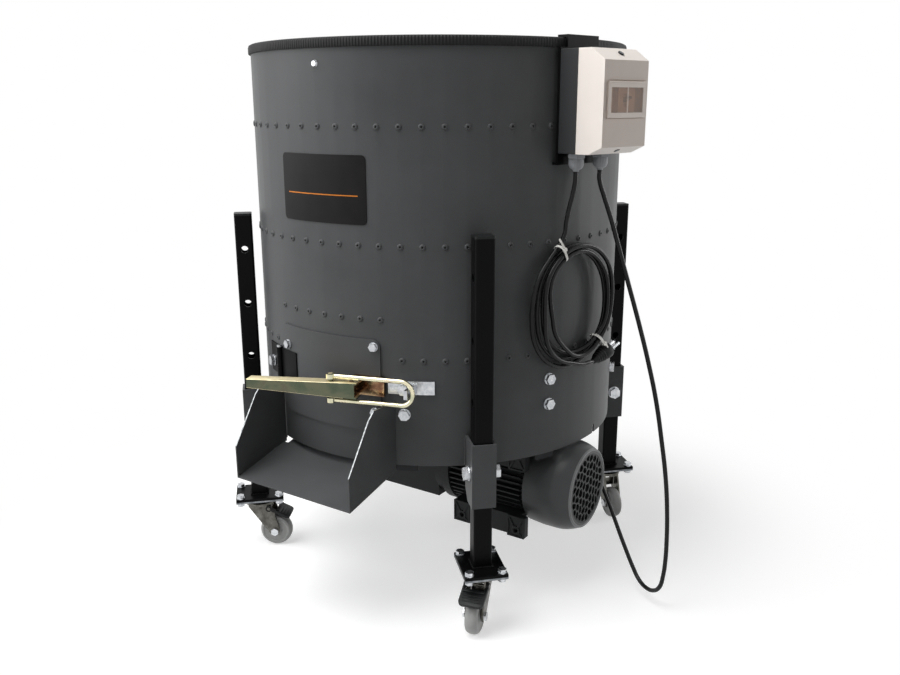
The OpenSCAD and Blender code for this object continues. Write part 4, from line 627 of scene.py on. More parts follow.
def dress(material, *names):
    for name in names:
        skin = nodes[name].data.materials
        skin.clear()
        skin.append(material)


dress(satinGreyCoat, "drum_shell", "door_backing")
dress(raspSteel, "rasp_lining")
dress(brightZinc, "hinge_pin")
dress(satinBlackCoat, "box_bracket", *("leg_" + place for place in casters))
dress(paleWire, "latch_hook")
dress(frameBlackCoat, "cross_frame")
dress(turnedSteel, "worm_shaft", "rotor_disc", "motor_rotor")
dress(gearBronze, "worm_wheel")
print("solids dressed")


# Shapes with eased edges, from the CAD solids

def cadCopy(name):  # a welded bmesh of a CAD solid, flat faces whole again
    bm = bmesh.new()
    bm.from_mesh(nodes[name].data)
    bmesh.ops.remove_doubles(bm, verts=bm.verts, dist=1e-6)
    bmesh.ops.dissolve_limit(bm, angle_limit=math.radians(0.6), verts=bm.verts, edges=bm.edges)
    for face in bm.faces:
        face.material_index = 0
    return bm


def softEdged(name, radiusMm, materials, crease=32, paintFaces=None):
    bm = cadCopy(name)
    if paintFaces:
        for face in bm.faces:
            face.material_index = paintFaces(face)
    shortest = 2.2 * radiusMm * mm
    easeEdges(bm, [edge for edge in bm.edges if edge.calc_face_angle(0) > math.radians(crease)
                   and edge.calc_length() > shortest], radiusMm)
    piece = finishPiece(name + "_finished", bm, materials, bodyOf[name], [name], crease + 4)
    piece.modifiers.new("evenFaces", "WEIGHTED_NORMAL").keep_sharp = True
    return piece


def leverPiece():  # the folds of the lever's channel are round, and they and its top take a pale straw finish: a painted highlight
    leverSpec = {"fold": 2.4, "shortest": 60}  # millimetres
    outward = Vector((0, -1, 0))
    bm = cadCopy("latch_lever")

    def isFold(edge):
        if len(edge.link_faces) != 2 or not edge.is_convex or edge.calc_length() < leverSpec["shortest"] * mm:
            return False
        inFront = [face.normal.dot(outward) > 0.7 for face in edge.link_faces]
        return inFront[0] != inFront[1]

    folds = [edge for edge in bm.edges if isFold(edge)]
    # the upward faces and the new fold faces take the pale finish: painted highlight
    for face in bm.faces:
        face.material_index = int(face.normal.z > 0.7)
    easeEdges(bm, folds, leverSpec["fold"], 4, 1)
    return finishPiece("latch_lever_finished", bm, [yellowPassivate, paintedStrawHighlight], bodyOf["latch_lever"],
                       ["latch_lever"])


def rimHighlightFaces(face):  # the chute's side-wall rims that face up or forward take a pale steel finish: a painted highlight
    rimSpec = {"beyond": 96.8, "front": -247}  # millimetres
    centre, normal = face.calc_center_median(), face.normal
    onSide = abs(centre.x) > rimSpec["beyond"] * mm and centre.y < rimSpec["front"] * mm
    return int(onSide and abs(normal.x) < 0.3 and normal.z > -0.3)


def axleNut(place):  # the axle's two hexagons stay bright
    nutSpec = {"from": 13.3, "radius": 6.6}  # millimetres from the hub
    joint = jointOf("wheel_" + place)
    hub, axis = Vector(joint["pos_m"]), Vector(joint["axis"]).normalized()

    def isNut(face):
        apart = face.calc_center_median() - hub
        outward = apart.dot(axis)
        aside = (apart - axis * outward).length
        return int(abs(outward) > nutSpec["from"] * mm and aside < nutSpec["radius"] * mm)

    return isNut


def boxPanel(face):  # the box's front is a beige-grey panel
    panelFrom = 336  # millimetres from the drum's axis
    inFront = face.calc_center_median().dot(boxOutward) > panelFrom * mm
    return int(inFront and face.normal.dot(boxOutward) > 0.99)


easedNodes = [  # node, edge radius in millimetres, finish, slot
    ("leg_sleeves", 0.8, satinGreyCoat, "wall_paint"),
    ("door_panel", 0.4, satinGreyCoat, "wall_paint"),
    ("wall_bolts", 0.35, brightZinc, "zinc"),
    ("door_bolts", 0.35, brightZinc, "zinc"),
    ("leg_bolts", 0.35, brightZinc, "zinc"),
    ("latch_catch", 0.4, brightZinc, "zinc"),
    ("latch_base", 0.5, rosyPassivate, "passivated"),
    ("hinge_wall_leaf", 0.3, satinBlackCoat, "black_paint"),
    ("hinge_door_leaf", 0.3, satinBlackCoat, "black_paint"),
    ("caster_plates", 0.5, pressedZinc, "fork_steel"),
    ("leg_caps", 0.8, blackPlastic, "black_plastic"),
    ("foot_plates", 0.6, satinBlackCoat, "black_paint"),
    ("hanger_straps", 0.5, frameBlackCoat, "frame_steel"),
    ("name_plate", 0.2, labelFilm, "plate_film"),
    ("motor_frame", 0.6, castMotorPaint, "cast"),
    ("gearbox_housing", 1.6, castMotorPaint, "cast"),
    ("terminal_box", 1.2, basePlastic, "base_plastic"),
    ("box_base", 1.0, basePlastic, "base_plastic"),
    ("starter", 0.5, starterFront, "cover_plastic"),
    ("starter_toggle", 0.5, blackPlastic, "black_plastic"),
    ("window_flap", 0.8, clearFlap, "flap_plastic"),
]
for name, radiusMm, material, slot in easedNodes:
    softEdged(name, radiusMm, [material])
softEdged("chute", 0.3, [satinGreyCoat, chuteRimHighlight], paintFaces=rimHighlightFaces)
softEdged("box_cover", 1.4, [coverPlastic, frontPlastic], 20, boxPanel)
for place in casters:
    softEdged("fork_" + place, 0.5, [smokedZinc, brightZinc], paintFaces=axleNut(place))
leverPiece()
print("edges eased")


# Rivets and rasp teeth: rings of one small shape, from one node tree

def smallShape(name, profile, segments, coreRadius=0.0):  # turned, in millimetres, for a node tree to repeat
    bm = bmesh.new()
    lathe(bm, inMm(profile), segments, Matrix.Identity(4))
    core = bm.faces.layers.bool.new("core")
    for face in bm.faces:
        face[core] = face.calc_center_median().xy.length < coreRadius * mm
    return bpy.data.objects.new(name, smoothMesh(name, bm))


def addSockets(tree, sockets):
    for label, kind in sockets.items():
        tree.interface.new_socket(label, in_out="INPUT", socket_type="NodeSocket" + kind)
    tree.interface.new_socket("Geometry", in_out="OUTPUT", socket_type="NodeSocketGeometry")


def buildRingTree():
    tree = bpy.data.node_groups.new("ringsOfOneShape", "GeometryNodeTree")
    addSockets(tree, {
        "Shape": "Object", "Count": "Int", "Rows": "Int", "First": "Float", "Step": "Float",
        "Radius": "Float", "Height": "Float", "Row Step": "Float", "Turn": "Float",
        "Coat": "Material", "Bore": "Material"})
    given = addNode(tree, "NodeGroupInput", None, None).outputs

    # where each one stands: its row, its place in the row, every second row shifted by half a step
    index = addNode(tree, "GeometryNodeInputIndex")
    share = addNode(tree, "ShaderNodeMath", {0: index, 1: given["Count"]}, operation="DIVIDE")
    row = addNode(tree, "ShaderNodeMath", {0: share}, operation="FLOOR")
    odd = addNode(tree, "ShaderNodeMath", {0: row, 1: 2.0}, operation="MODULO")
    inRow = addNode(tree, "ShaderNodeMath", {0: index, 1: given["Count"]}, operation="MODULO")
    spot = addNode(tree, "ShaderNodeMath", {0: odd, 1: 0.5, 2: inRow}, operation="MULTIPLY_ADD")
    angle = addNode(tree, "ShaderNodeMath", {0: spot, 1: given["Step"], 2: given["First"]},
                    operation="MULTIPLY_ADD")
    sine = addNode(tree, "ShaderNodeMath", {0: angle}, operation="SINE")
    cosine = addNode(tree, "ShaderNodeMath", {0: angle}, operation="COSINE")
    x = addNode(tree, "ShaderNodeMath", {0: sine, 1: given["Radius"]}, operation="MULTIPLY")
    back = addNode(tree, "ShaderNodeMath", {0: cosine, 1: given["Radius"]}, operation="MULTIPLY")
    y = addNode(tree, "ShaderNodeMath", {0: back, 1: -1.0}, operation="MULTIPLY")
    z = addNode(tree, "ShaderNodeMath", {0: row, 1: given["Row Step"], 2: given["Height"]},
                operation="MULTIPLY_ADD")
    place = addNode(tree, "ShaderNodeCombineXYZ", {"X": x, "Y": y, "Z": z})
    total = addNode(tree, "ShaderNodeMath", {0: given["Count"], 1: given["Rows"]}, operation="MULTIPLY")
    line = addNode(tree, "GeometryNodeMeshLine", {"Count": total})
    points = addNode(tree, "GeometryNodeSetPosition", {"Geometry": line, "Position": place})

    # each one faces along the radius, and is rolled about its own axis
    heading = addNode(tree, "ShaderNodeMath", {0: angle, 1: given["Turn"]}, operation="ADD")
    euler = addNode(tree, "ShaderNodeCombineXYZ", {"X": math.pi / 2, "Z": heading})
    outward = addNode(tree, "FunctionNodeEulerToRotation", {"Euler": euler})
    shape = addNode(tree, "GeometryNodeObjectInfo", {"Object": given["Shape"]}, "Geometry")
    heads = addNode(tree, "GeometryNodeInstanceOnPoints", {
        "Points": points, "Instance": shape, "Rotation": outward})
    spin = addNode(tree, "FunctionNodeRandomValue", {"Max": 6.283, "Seed": 4}, "Value", data_type="FLOAT")
    spun = addNode(tree, "ShaderNodeCombineXYZ", {"Z": spin})
    roll = addNode(tree, "FunctionNodeEulerToRotation", {"Euler": spun})
    rolled = addNode(tree, "GeometryNodeRotateInstances", {"Instances": heads, "Rotation": roll})

    real = addNode(tree, "GeometryNodeRealizeInstances", {"Geometry": rolled})
    core = addNode(tree, "GeometryNodeInputNamedAttribute", {"Name": "core"}, "Attribute",
                   data_type="BOOLEAN")
    coated = addNode(tree, "GeometryNodeSetMaterial", {"Geometry": real, "Material": given["Coat"]})
    bored = addNode(tree, "GeometryNodeSetMaterial", {
        "Geometry": coated, "Selection": core, "Material": given["Bore"]})
    addNode(tree, "NodeGroupOutput", {"Geometry": bored}, None)
    return tree


def grow(name, tree, values, start=None):  # the tree's result as a plain mesh object
    holder = addObject(name + "_holder", start or bpy.data.meshes.new(name + "_holder"))
    modifier = holder.modifiers.new("grow", "NODES")
    modifier.node_group = tree
    for item in tree.interface.items_tree:
        if item.in_out == "INPUT" and item.name in values:
            modifier[item.identifier] = values[item.name]
    bpy.context.view_layer.update()
    mesh = bpy.data.meshes.new_from_object(holder.evaluated_get(bpy.context.evaluated_depsgraph_get()))
    bpy.data.objects.remove(holder)
    mesh.name = name
    return addObject(name, mesh)


rivetSpec = {"radius": 264.9, "step": 6, "core": 1.38}  # millimetres, degrees
rivetProfile = [(4.2, 0), (4.1, 0.5), (3.3, 1.35), (2.0, 1.8), (1.4, 1.75), (1.3, 0.5), (0, 0.4)]
rivetRows = {  # height in millimetres, first azimuth, count, CAD node
    "rivets_upper": (652, 0, 60, "ring_rivets"),
    "rivets_middle": (508, 0, 60, "ring_rivets"),
    "rivets_over_door": (414, -18, 7, "lower_rivets"),
    "rivets_lower": (362, 24, 53, "lower_rivets"),
}
teethSpec = {"count": 90, "rows": 13, "radius": 261.7, "low": 424, "pitch": 17}  # on the lining
toothProfile = [(3.4, -0.2), (2.4, 0.5), (1.7, 1.5), (1.2, 1.4), (0.9, 0.2), (0, 0.1)]  # a torn, open burr
ringTree = buildRingTree()
rivetHead = smallShape("rivetHead", rivetProfile, 14, rivetSpec["core"])
for name, (height, first, count, node) in rivetRows.items():
    row = grow(name, ringTree, {
        "Shape": rivetHead, "Count": count, "Rows": 1, "First": math.radians(first),
        "Step": math.radians(rivetSpec["step"]), "Radius": rivetSpec["radius"] * mm, "Height": height * mm,
        "Coat": satinGreyCoat, "Bore": rivetBore})
    settle(row, "machine", [node])
teeth = grow("rasp_teeth", ringTree, {
    "Shape": smallShape("raspTooth", toothProfile, 7), "Count": teethSpec["count"], "Rows": teethSpec["rows"],
    "Step": 2 * math.pi / teethSpec["count"], "Radius": teethSpec["radius"] * mm,
    "Height": teethSpec["low"] * mm, "Row Step": teethSpec["pitch"] * mm, "Turn": math.pi,
    "Coat": raspSteel, "Bore": raspSteel})
settle(teeth, "machine", ())
print("rivets and teeth set")


# Weld beads: overlapping drops along each joint, from one node tree

def buildWeldTree():
    tree = bpy.data.node_groups.new("weldBeads", "GeometryNodeTree")
    addSockets(tree, {
        "Geometry": "Geometry", "Drop": "Object", "Spacing": "Float", "Seed": "Int", "Paint": "Material"})
    given = addNode(tree, "NodeGroupInput", None, None).outputs
    lines = addNode(tree, "GeometryNodeMeshToCurve", {"Mesh": given["Geometry"]})
    points = addNode(tree, "GeometryNodeCurveToPoints", {"Curve": lines, "Length": given["Spacing"]}, None,
                     mode="LENGTH").outputs
    drop = addNode(tree, "GeometryNodeObjectInfo", {"Object": given["Drop"]}, "Geometry")
    size = addNode(tree, "FunctionNodeRandomValue", {"Min": 0.8, "Max": 1.25, "Seed": given["Seed"]}, "Value",
                   data_type="FLOAT")
    beads = addNode(tree, "GeometryNodeInstanceOnPoints", {
        "Points": points["Points"], "Instance": drop, "Rotation": points["Rotation"], "Scale": size})
    real = addNode(tree, "GeometryNodeRealizeInstances", {"Geometry": beads})
    painted = addNode(tree, "GeometryNodeSetMaterial", {"Geometry": real, "Material": given["Paint"]})
    addNode(tree, "NodeGroupOutput", {"Geometry": painted}, None)
    return tree


def weldPiece(name, lines, paint):
    verts, edges = [], []
    for line in lines:
        edges += [(len(verts) + k, len(verts) + k + 1) for k in range(len(line) - 1)]
        verts += [tuple(point) for point in line]
    start = bpy.data.meshes.new(name + "_lines")
    start.from_pydata(verts, edges, [])
    beads = grow(name, weldTree, {
        "Drop": weldDrop, "Spacing": weldSpec["spacing"] * mm, "Seed": 11, "Paint": paint}, start)
    return settle(beads, "machine", ())


def weldLines():  # round each leg on its foot plate, and up both sides of each sleeve
    legSpec = {"azimuths": (45, -45, 135, -135), "radius": 289, "half": 12.9, "plateTop": 88.3,
               "sleeve": 16.3, "wall": 266.2, "from": 222, "to": 258}  # millimetres
    half, around, upright = legSpec["half"], [], []
    corners = [(half, half), (-half, half), (-half, -half), (half, -half), (half, half)]
    for azimuth in legSpec["azimuths"]:
        around.append([wallPoint(azimuth, a, legSpec["radius"] + b, legSpec["plateTop"]) for a, b in corners])
        for side in (-1, 1):
            upright.append([wallPoint(azimuth, side * legSpec["sleeve"], legSpec["wall"], legSpec[end])
                            for end in ("from", "to")])
    return around, upright


weldSpec = {"spacing": 1.9, "drop": 1.5, "stretch": (1.0, 1.25, 0.8)}  # millimetres, and shares
dropShape = bmesh.new()
bmesh.ops.create_icosphere(dropShape, subdivisions=1, radius=weldSpec["drop"] * mm,
                           matrix=Matrix.Diagonal((*weldSpec["stretch"], 1.0)))
weldDrop, weldTree = bpy.data.objects.new("weldDrop", smoothMesh("weldDrop", dropShape)), buildWeldTree()
footLines, sleeveLines = weldLines()
weldPiece("foot_welds", footLines, satinBlackCoat)
weldPiece("sleeve_welds", sleeveLines, satinGreyCoat)
print("welds laid")


# Caster wheels

def wheelPiece(name):
    wheelSpec = {"radius": 25, "half": 9, "tread": 2.2, "web": 1.6, "hub": 9.5, "sleeve": 4.3}  # millimetres
    low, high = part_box(name)
    axis = Vector(jointOf(name)["axis"]).normalized()
    place = Matrix.Translation((low + high) / 2) @ facing(axis)
    grown = (high.z - low.z) / 2 / wheelSpec["radius"]
    half, hub, web = wheelSpec["half"], wheelSpec["hub"], wheelSpec["half"] - wheelSpec["web"]
    side = [(wheelSpec["sleeve"], half), (7, half), (hub, 8.6), (hub + 0.8, web), (18.2, web), (19.2, 8.7),
            (21, 8.6), (23.2, 7.4), (24.6, 4.6), (wheelSpec["radius"], wheelSpec["tread"])]
    profile = [(r * grown, z * mm) for r, z in side]
    profile += [(r, -z) for r, z in reversed(profile)]
    bm = bmesh.new()
    lathe(bm, rounded(profile, 0.7 * mm, 3) + [profile[0]], 64, place)
    bmesh.ops.remove_doubles(bm, verts=bm.verts, dist=1e-7)
    return finishPiece(name + "_finished", bm, [nylonWheelGrey], bodyOf[name], [name], 40)


for place in casters:
    wheelPiece("wheel_" + place)
print("wheels turned")


# Brake pedals with rounded corners and a ribbed tread, and the leaf in each fork

def pedalPiece(name):
    pedalSpec = {"corner": 6, "edge": 0.7, "reach": 35, "drop": 25, "half": 2.5}  # millimetres, degrees
    ribs = [(13.5, 29, 4.5, 2.6), (20, 27, 1.7, 1.3),  # reach, width, length, height
            (24.5, 27, 1.7, 1.3), (29, 25, 1.7, 1.3)]
    joint = jointOf(name)
    axis, pivot = Vector(joint["axis"]).normalized(), Vector(joint["pos_m"])
    trail = axis.cross(up)
    slope = math.radians(pedalSpec["drop"])
    outward = trail * math.cos(slope) - up * math.sin(slope)
    top = up * math.cos(slope) + trail * math.sin(slope)
    bm = cadCopy(name)

    def isCorner(edge):
        a, b = (vert.co for vert in edge.verts)
        atEnd = ((a + b) / 2 - pivot).dot(outward) > (pedalSpec["reach"] - 1) * mm
        return atEnd and abs((b - a).normalized().dot(top)) > 0.95

    easeEdges(bm, [edge for edge in bm.edges if isCorner(edge)], pedalSpec["corner"], 5)
    easeEdges(bm, [edge for edge in bm.edges if edge.calc_face_angle(0) > math.radians(40)
                   and edge.calc_length() > 1.5 * mm], pedalSpec["edge"])
    for reach, width, length, height in ribs:
        spot = Matrix((axis, outward, top)).transposed().to_4x4()
        spot.translation = pivot + outward * reach * mm + top * (pedalSpec["half"] + height / 2 - 0.4) * mm
        easedBlock(bm, spot, (width, length, height), 0.4)
    return finishPiece(name + "_finished", bm, [blackPlastic], bodyOf[name], [name])


def forkLeaf(place):  # the leaf between a fork's cheeks, over its wheel; the bent leaf is drawn as a flat block
    leafSpec = {"ahead": -16, "above": 31, "width": 19.4, "thickness": 1.6, "height": 13}  # millimetres
    hub, king = (Vector(jointOf(part + place)["pos_m"]) for part in ("wheel_", "fork_"))
    trail = Vector((hub.x - king.x, hub.y - king.y, 0)).normalized()
    spot = Matrix((up.cross(trail), trail, up)).transposed().to_4x4()
    spot.translation = hub + trail * leafSpec["ahead"] * mm + up * leafSpec["above"] * mm
    bm = bmesh.new()
    easedBlock(bm, spot, [leafSpec[side] for side in ("width", "thickness", "height")], 0.4)
    return finishPiece("fork_leaf_" + place, bm, [smokedZinc], bodyOf["fork_" + place], ())


for place in brakedCasters:
    pedalPiece("pedal_" + place)
for place in casters:
    forkLeaf(place)


# Motor feet: cast webs round each hole

def footWebs():
    webSpec = {"holesX": (115, 205), "holesZ": (96, 208), "shaft": 150, "face": -111, "half": 13.6,
               "near": 9.2, "far": 20.2, "bar": 2.4, "ring": 6.6, "hole": 3.6, "high": 2.2,
               "sunk": 0.6}  # millimetres
    half, hole, rim, sunk = webSpec["half"], webSpec["hole"], webSpec["ring"], webSpec["sunk"]
    ring = [(hole, -0.5), (rim, -0.5), (rim, 1.4), (rim - 0.4, 1.7), (hole + 0.4, 1.7), (hole, 1.4)]
    bm = bmesh.new()
    for x, z in [(x, z) for x in webSpec["holesX"] for z in webSpec["holesZ"]]:
        place = moved(x, webSpec["face"], z) @ turned(90, "X")
        below = z < webSpec["shaft"]
        low, high = (-webSpec["near"], webSpec["far"]) if below else (-webSpec["far"], webSpec["near"])
        bars = [(0, low, 2 * half, 0), (0, high, 2 * half, 0)]  # along, height, length, turn
        bars += [(side * (half - webSpec["bar"] / 2), (low + high) / 2, high - low, 90) for side in (-1, 1)]
        for corner in [Vector((side * (half - 1.5), edge, 0)) for side in (-1, 1) for edge in (low, high)]:
            start = corner.normalized() * (rim - sunk)  # a web from the ring to each corner
            middle = (corner + start) / 2
            turn = math.degrees(math.atan2(corner.y, corner.x))
            bars.append((middle.x, middle.y, (corner - start).length, turn))
        for along, height, length, turn in bars:
            spot = place @ moved(along, height, webSpec["high"] / 2 - sunk) @ turned(turn, "Z")
            easedBlock(bm, spot, (length, webSpec["bar"], webSpec["high"]), 0.4)
        lathe(bm, inMm(ring), 28, place, True)
    return finishPiece("motor_foot_webs", bm, [castMotorPaint], "machine", ())


footWebs()


# Cover screws, sunk in the two bevels

def coverScrews():
    screwSpec = {"well": 3.8, "head": 2.5}  # millimetres
    places = [(329.4, 736.5, 0.82, 0.574), (329.4, 623.2, -0.912, 0.41)]  # radius, height, the bevel's slope
    wellRim, headRim = screwSpec["well"], screwSpec["head"]
    well = [(0, 0.25), (wellRim - 0.4, 0.25), (wellRim, 0.1), (wellRim, -1), (0, -1)]
    head = [(0, 0.7), (1.2, 0.68), (headRim - 0.3, 0.5), (headRim, 0.1), (0, 0.1)]
    bm = bmesh.new()
    for radius, height, rise, reach in places:
        place = Matrix.Translation(boxSide(0, radius, height)) @ facing(up * rise + boxOutward * reach)
        # each well takes the near-black rivet-core finish: painted shade in the recess
        lathe(bm, inMm(well), 28, place)
        lathe(bm, inMm(head), 24, place, False, 1)
    return finishPiece("cover_screws", bm, [rivetBore, darkRivetSteel], "machine", ())


coverScrews()
print("pedals, feet and screws made")


# Fan cowl: a drawn shell with a beaded lip and an uneven honeycomb in its face

def cowlPiece():
    cowlSpec = {"face": 55, "wall": 2.5, "nose": 26, "taper": 2, "shoulder": 5.5, "lip": 5, "bead": 0.7,
                "rounding": 5, "highlightFrom": 1.6, "highlightBand": (-1.6, 2.2), "combEdge": 4.6, "combSunk": 0.3,
                "combThinner": 0.6, "cells": 4}  # millimetres, and rings of cells
    low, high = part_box("fan_cowl")
    length, outer = (high.x - low.x) / mm, (high.z - low.z) / 2 / mm
    face, wall, nose, top = cowlSpec["face"], cowlSpec["wall"], cowlSpec["nose"], length + cowlSpec["bead"]
    lip, shoulder, mouth = face - cowlSpec["lip"], outer - cowlSpec["shoulder"], outer - cowlSpec["taper"]
    place = Matrix.Translation((low.x, (low.y + high.y) / 2, (low.z + high.z) / 2)) @ turned(90, "Y")
    outside = [(mouth, 0), (outer, length * 0.3), (outer, length - nose), (mouth, length - nose * 0.6),
               (shoulder, length - nose * 0.25), (face + 2, length - 1.2), (face + 1.4, top),
               (face - 0.8, top), (face - 1.4, length), (lip, length)]
    inside = [(lip, length - wall), (face - wall, length - wall), (shoulder - wall, length - nose * 0.3),
              (outer - wall, length - nose), (outer - wall, length * 0.3), (mouth - wall, 0)]
    bm = bmesh.new()
    lathe(bm, rounded(inMm(outside), cowlSpec["rounding"] * mm, 5) + inMm(inside), 96, place, True)
    shellFaces = len(bm.faces)
    honeycomb(bm, place, (face - cowlSpec["combEdge"]) * mm, (length - cowlSpec["combSunk"]) * mm,
              (wall - cowlSpec["combThinner"]) * mm, cowlSpec["cells"])
    bm.faces.ensure_lookup_table()
    # the honeycomb's webs take the darker anthracite plastic: painted shade on the grille
    for web in bm.faces[shellFaces:]:
        web.material_index = 1
    toAxis = place.inverted()
    highlightIn, highlightOut = (face + reach for reach in cowlSpec["highlightBand"])
    for part in bm.faces[:shellFaces]:  # the bead is painted pale: a painted highlight
        spot = (toAxis @ part.calc_center_median()) / mm
        if spot.z > length - cowlSpec["highlightFrom"] and highlightIn < spot.xy.length < highlightOut:
            part.material_index = 2
    return finishPiece("fan_cowl_finished", bm, [cowlPlastic, basePlastic, cowlRimHighlight], "machine",
                       ["fan_cowl"], 30)


def honeycomb(bm, place, radius, height, depth, rings):
    # a hexagon of cells stretched to a disc, its corners shaken a little
    combSpec = {"seed": 7, "wander": 1.1 * mm, "web": 1.4 * mm}
    shake, wander = random.Random(combSpec["seed"]), combSpec["wander"]
    sixth = math.radians(60)
    back = Vector((0, 0, -depth))
    corners, cells, made, borders = {}, [], {}, {}

    def stretched(x, y):
        angle = math.atan2(y, x)
        edge = math.cos(sixth / 2) / math.cos(angle % sixth - sixth / 2)
        share = math.hypot(x, y) / (rings + 0.62) / edge
        grown = min(share, 1.0) ** 0.96 * radius * 0.985
        return grown * math.cos(angle), grown * math.sin(angle)

    def corner(x, y):
        key = (round(x, 3), round(y, 3))
        if key not in corners:
            px, py = stretched(x, y)
            px += shake.uniform(-wander, wander)
            py += shake.uniform(-wander, wander)
            corners[key] = Vector((px, py, height))
        return corners[key]

    def vert(point):
        key = tuple(round(c, 7) for c in point)
        if key not in made:
            made[key] = bm.verts.new(place @ point)
        return made[key]

    for row in range(-rings, rings + 1):
        for column in range(-rings, rings + 1):
            if abs(row + column) > rings:
                continue
            x, y, size = column + row / 2, row * math.sin(sixth), 1 / math.sqrt(3)
            cells.append([corner(x + size * math.sin(sixth * k), y + size * math.cos(sixth * k))
                          for k in range(6)])
    for cell in cells:
        middle = sum(cell, Vector()) / 6
        inner = [p + (middle - p).normalized() * min(combSpec["web"], (middle - p).length * 0.4)
                 for p in cell]
        for k in range(6):
            a, b, c, d = cell[k], cell[(k + 1) % 6], inner[(k + 1) % 6], inner[k]
            bm.faces.new([vert(a), vert(b), vert(c), vert(d)])
            bm.faces.new([vert(d), vert(c), vert(c + back), vert(d + back)])
            bm.faces.new([vert(d + back), vert(c + back), vert(b + back), vert(a + back)])
            borders.setdefault(frozenset((tuple(a), tuple(b))), []).append((a, b))
    for sides in borders.values():  # the honeycomb's rim runs out to the shell
        if len(sides) == 1:
            a, b = sides[0]
            outA, outB = ((p.xy.normalized() * radius).to_3d() + up * height for p in (a, b))
            bm.faces.new([vert(b), vert(a), vert(outA), vert(outB)])
            bm.faces.new([vert(a + back), vert(b + back), vert(outB + back), vert(outA + back)])


cowlPiece()
print("cowl drawn")


# Rim trim: a rubber profile pushed over the drum's edge

def trimPiece():
    trimSpec = {"width": 8.4, "slot": (262.8, 265.2), "slotTop": 3.2, "edge": 0.8,
                "shoulder": 3.4}  # millimetres
    low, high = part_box("rim_trim")
    outer, top, bottom = high.x / mm, high.z / mm, low.z / mm
    inner, slotTop = outer - trimSpec["width"], top - trimSpec["slotTop"]
    edge, shoulder = bottom + trimSpec["edge"], top - trimSpec["shoulder"]
    slotIn, slotOut = trimSpec["slot"]
    profile = [(slotOut, bottom), (outer - 0.6, bottom), (outer, edge), (outer, shoulder),
               (outer - 1, top - 1.1), (outer - 3, top), (inner + 3, top), (inner + 1, top - 1.1),
               (inner, shoulder), (inner, edge), (inner + 0.6, bottom), (slotIn, bottom),
               (slotIn, slotTop), (slotOut, slotTop)]
    bm = bmesh.new()
    lathe(bm, inMm(profile), 180, Matrix.Identity(4), True)
    return finishPiece("rim_trim_finished", bm, [trimRubber], "machine", ["rim_trim"], 40)


trimPiece()


# Cord glands: a hex collar, a ribbed dome and a tapered sleeve over the cord

def glandPiece():
    collar, ribs, ribbed = glandSpec["collar"], glandSpec["ribs"], glandSpec["ribbed"]
    ring = [(0, 0), (collar, 0), (collar, 5.2), (collar - 0.9, 6), (8.4, 6)]
    dome = [(8.4, 5.6), (9.3, 6.6), (9.3, 13.6), (8.6, 16.4), (7.2, 18.4), (6.2, 19.0), (4.3, 20.0),
            (3.7, 22)]
    angles = [2 * math.pi * k / (ribs * 4) for k in range(ribs * 4)]
    exits = [(boxSide(side * glandAlong, glandOut, glandSpec["top"]), -up) for side in (-1, 1)]
    exits.append((Vector(glandSpec["motorExit"]) * mm, Vector((1, 0, 0))))  # on the motor's terminal box
    bm = bmesh.new()
    for exitPoint, heading in exits:
        place = Matrix.Translation(exitPoint) @ facing(heading)
        lathe(bm, inMm(ring), 6, place)
        rows = []
        for radius, height in dome:
            depth = glandSpec["ribDepth"] if ribbed[0] < height < ribbed[1] else 0
            reaches = [(radius + depth * math.cos(ribs * angle), angle) for angle in angles]
            rows.append([bm.verts.new(place @ (Vector((r * math.cos(a), r * math.sin(a), height)) * mm))
                         for r, a in reaches])
        for a, b in zip(rows, rows[1:]):
            for k in range(len(angles)):
                bm.faces.new([a[k], a[(k + 1) % len(angles)], b[(k + 1) % len(angles)], b[k]])
        bm.faces.new(rows[-1])
        bm.faces.new(list(reversed(rows[0])))
    return finishPiece("cord_glands_finished", bm, [glandGrey], "machine", ["cord_glands"],
                       38)


glandPiece()
print("trim and glands made")


# Floor, world and lamps

stageSpec = {"floor": 9.0, "floorColour": "#d4d4d4", "lift": 0.5, "whiteFrom": 0.34, "whiteAt": 0.76,
             "worldStrength": 0.17, "aim": (0, 0, 0.4)}  # metres
white = (1, 1, 1, 1)
lamps = [  # name, place, width, height, power
    ("windowLamp", (-2.3, -2.1, 1.5), 3.0, 2.2, 66),
    ("sideLamp", (2.6, -0.9, 1.8), 1.0, 1.0, 2.5),
    ("topLamp", (-0.5, -1.0, 2.8), 1.8, 1.8, 72),
    ("edgeLamp", (1.7, 1.7, 0.9), 0.5, 1.6, 16),
]


def seenRays(tree):  # 1 for the camera's view, and for what metal and glass show of it
    path = addNode(tree, "ShaderNodeLightPath", None, None).outputs
    mirrored = addNode(tree, "ShaderNodeMath", {0: path["Is Glossy Ray"], 1: path["Is Transmission Ray"]},
                       operation="ADD")
    return addNode(tree, "ShaderNodeMath", {0: path["Is Camera Ray"], 1: mirrored}, operation="ADD",
                   use_clamp=True)


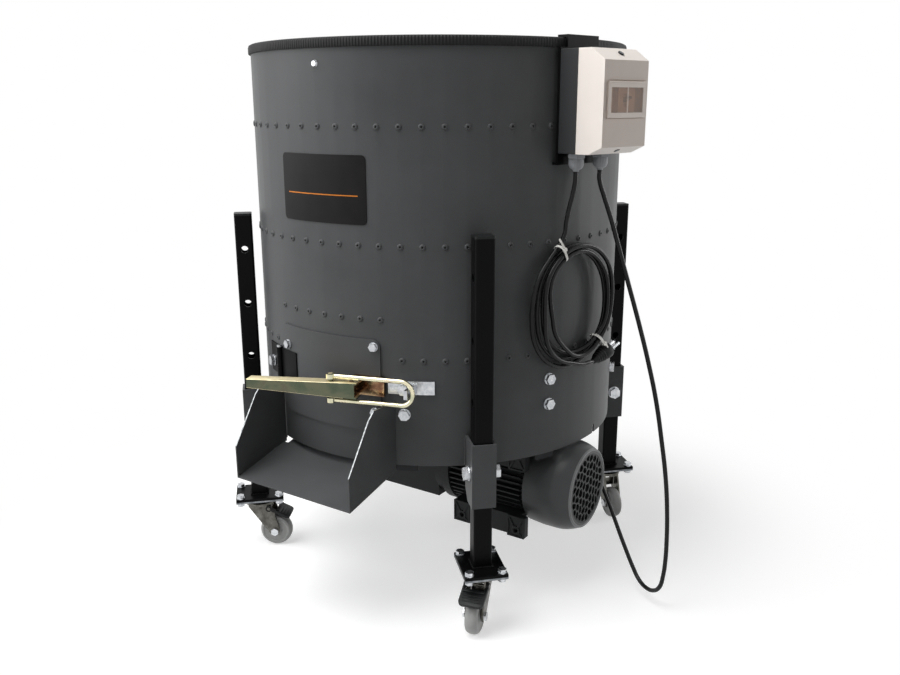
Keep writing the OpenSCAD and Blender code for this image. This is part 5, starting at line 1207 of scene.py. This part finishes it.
def makeFloor():  # pale paper that keeps the shadow and fades to white round the machine
    half = stageSpec["floor"]
    corners = [(-half, -half, 0), (half, -half, 0), (half, half, 0), (-half, half, 0)]
    mesh = bpy.data.meshes.new("studioFloor")
    mesh.from_pydata(corners, [], [(0, 1, 2, 3)])
    material, tree, place = startMaterial("pale_studio_floor", {
        "Base Color": linear(stageSpec["floorColour"]), "Roughness": 0.9, "Specular IOR Level": 0.0,
        "Emission Color": white})
    seen = seenRays(tree)
    lift = addNode(tree, "ShaderNodeMath", {0: seen, 1: stageSpec["lift"]}, operation="MULTIPLY")
    connect(tree, {"Emission Strength": lift})
    distance = addNode(tree, "ShaderNodeVectorMath", {0: place}, "Value", operation="LENGTH")
    far = addNode(tree, "ShaderNodeMapRange", {
        "Value": distance, "From Min": stageSpec["whiteFrom"], "From Max": stageSpec["whiteAt"]},
        interpolation_type="SMOOTHSTEP")
    fade = addNode(tree, "ShaderNodeMath", {0: far, 1: seen}, operation="MULTIPLY")
    paper = addNode(tree, "ShaderNodeEmission", {"Color": white, "Strength": 1.0})
    lit = tree.nodes["Principled BSDF"].outputs["BSDF"]
    mixed = addNode(tree, "ShaderNodeMixShader", {"Fac": fade, 1: lit, 2: paper})
    tree.links.new(mixed, tree.nodes["Material Output"].inputs["Surface"])
    mesh.materials.append(material)
    addObject("studioFloor", mesh)


def makeWorld():
    world = bpy.data.worlds.new("studioWorld")
    scene.world = world
    world.use_nodes = True
    tree = world.node_tree
    sky = tree.nodes["Background"].inputs
    sky["Color"].default_value = white
    strength = addNode(tree, "ShaderNodeMapRange", {
        "Value": seenRays(tree), "To Min": stageSpec["worldStrength"], "To Max": 1.0})
    tree.links.new(strength, sky["Strength"])


makeFloor()
makeWorld()
for name, place, width, height, power in lamps:
    light = bpy.data.lights.new(name, "AREA")
    light.shape, light.size, light.size_y, light.energy = "RECTANGLE", width, height, power
    lamp = addObject(name, light)
    lamp.location = place
    lamp.rotation_euler = (Vector(stageSpec["aim"]) - Vector(place)).to_track_quat("-Z", "Y").to_euler()
print("stage set")

bpy.context.view_layer.update()
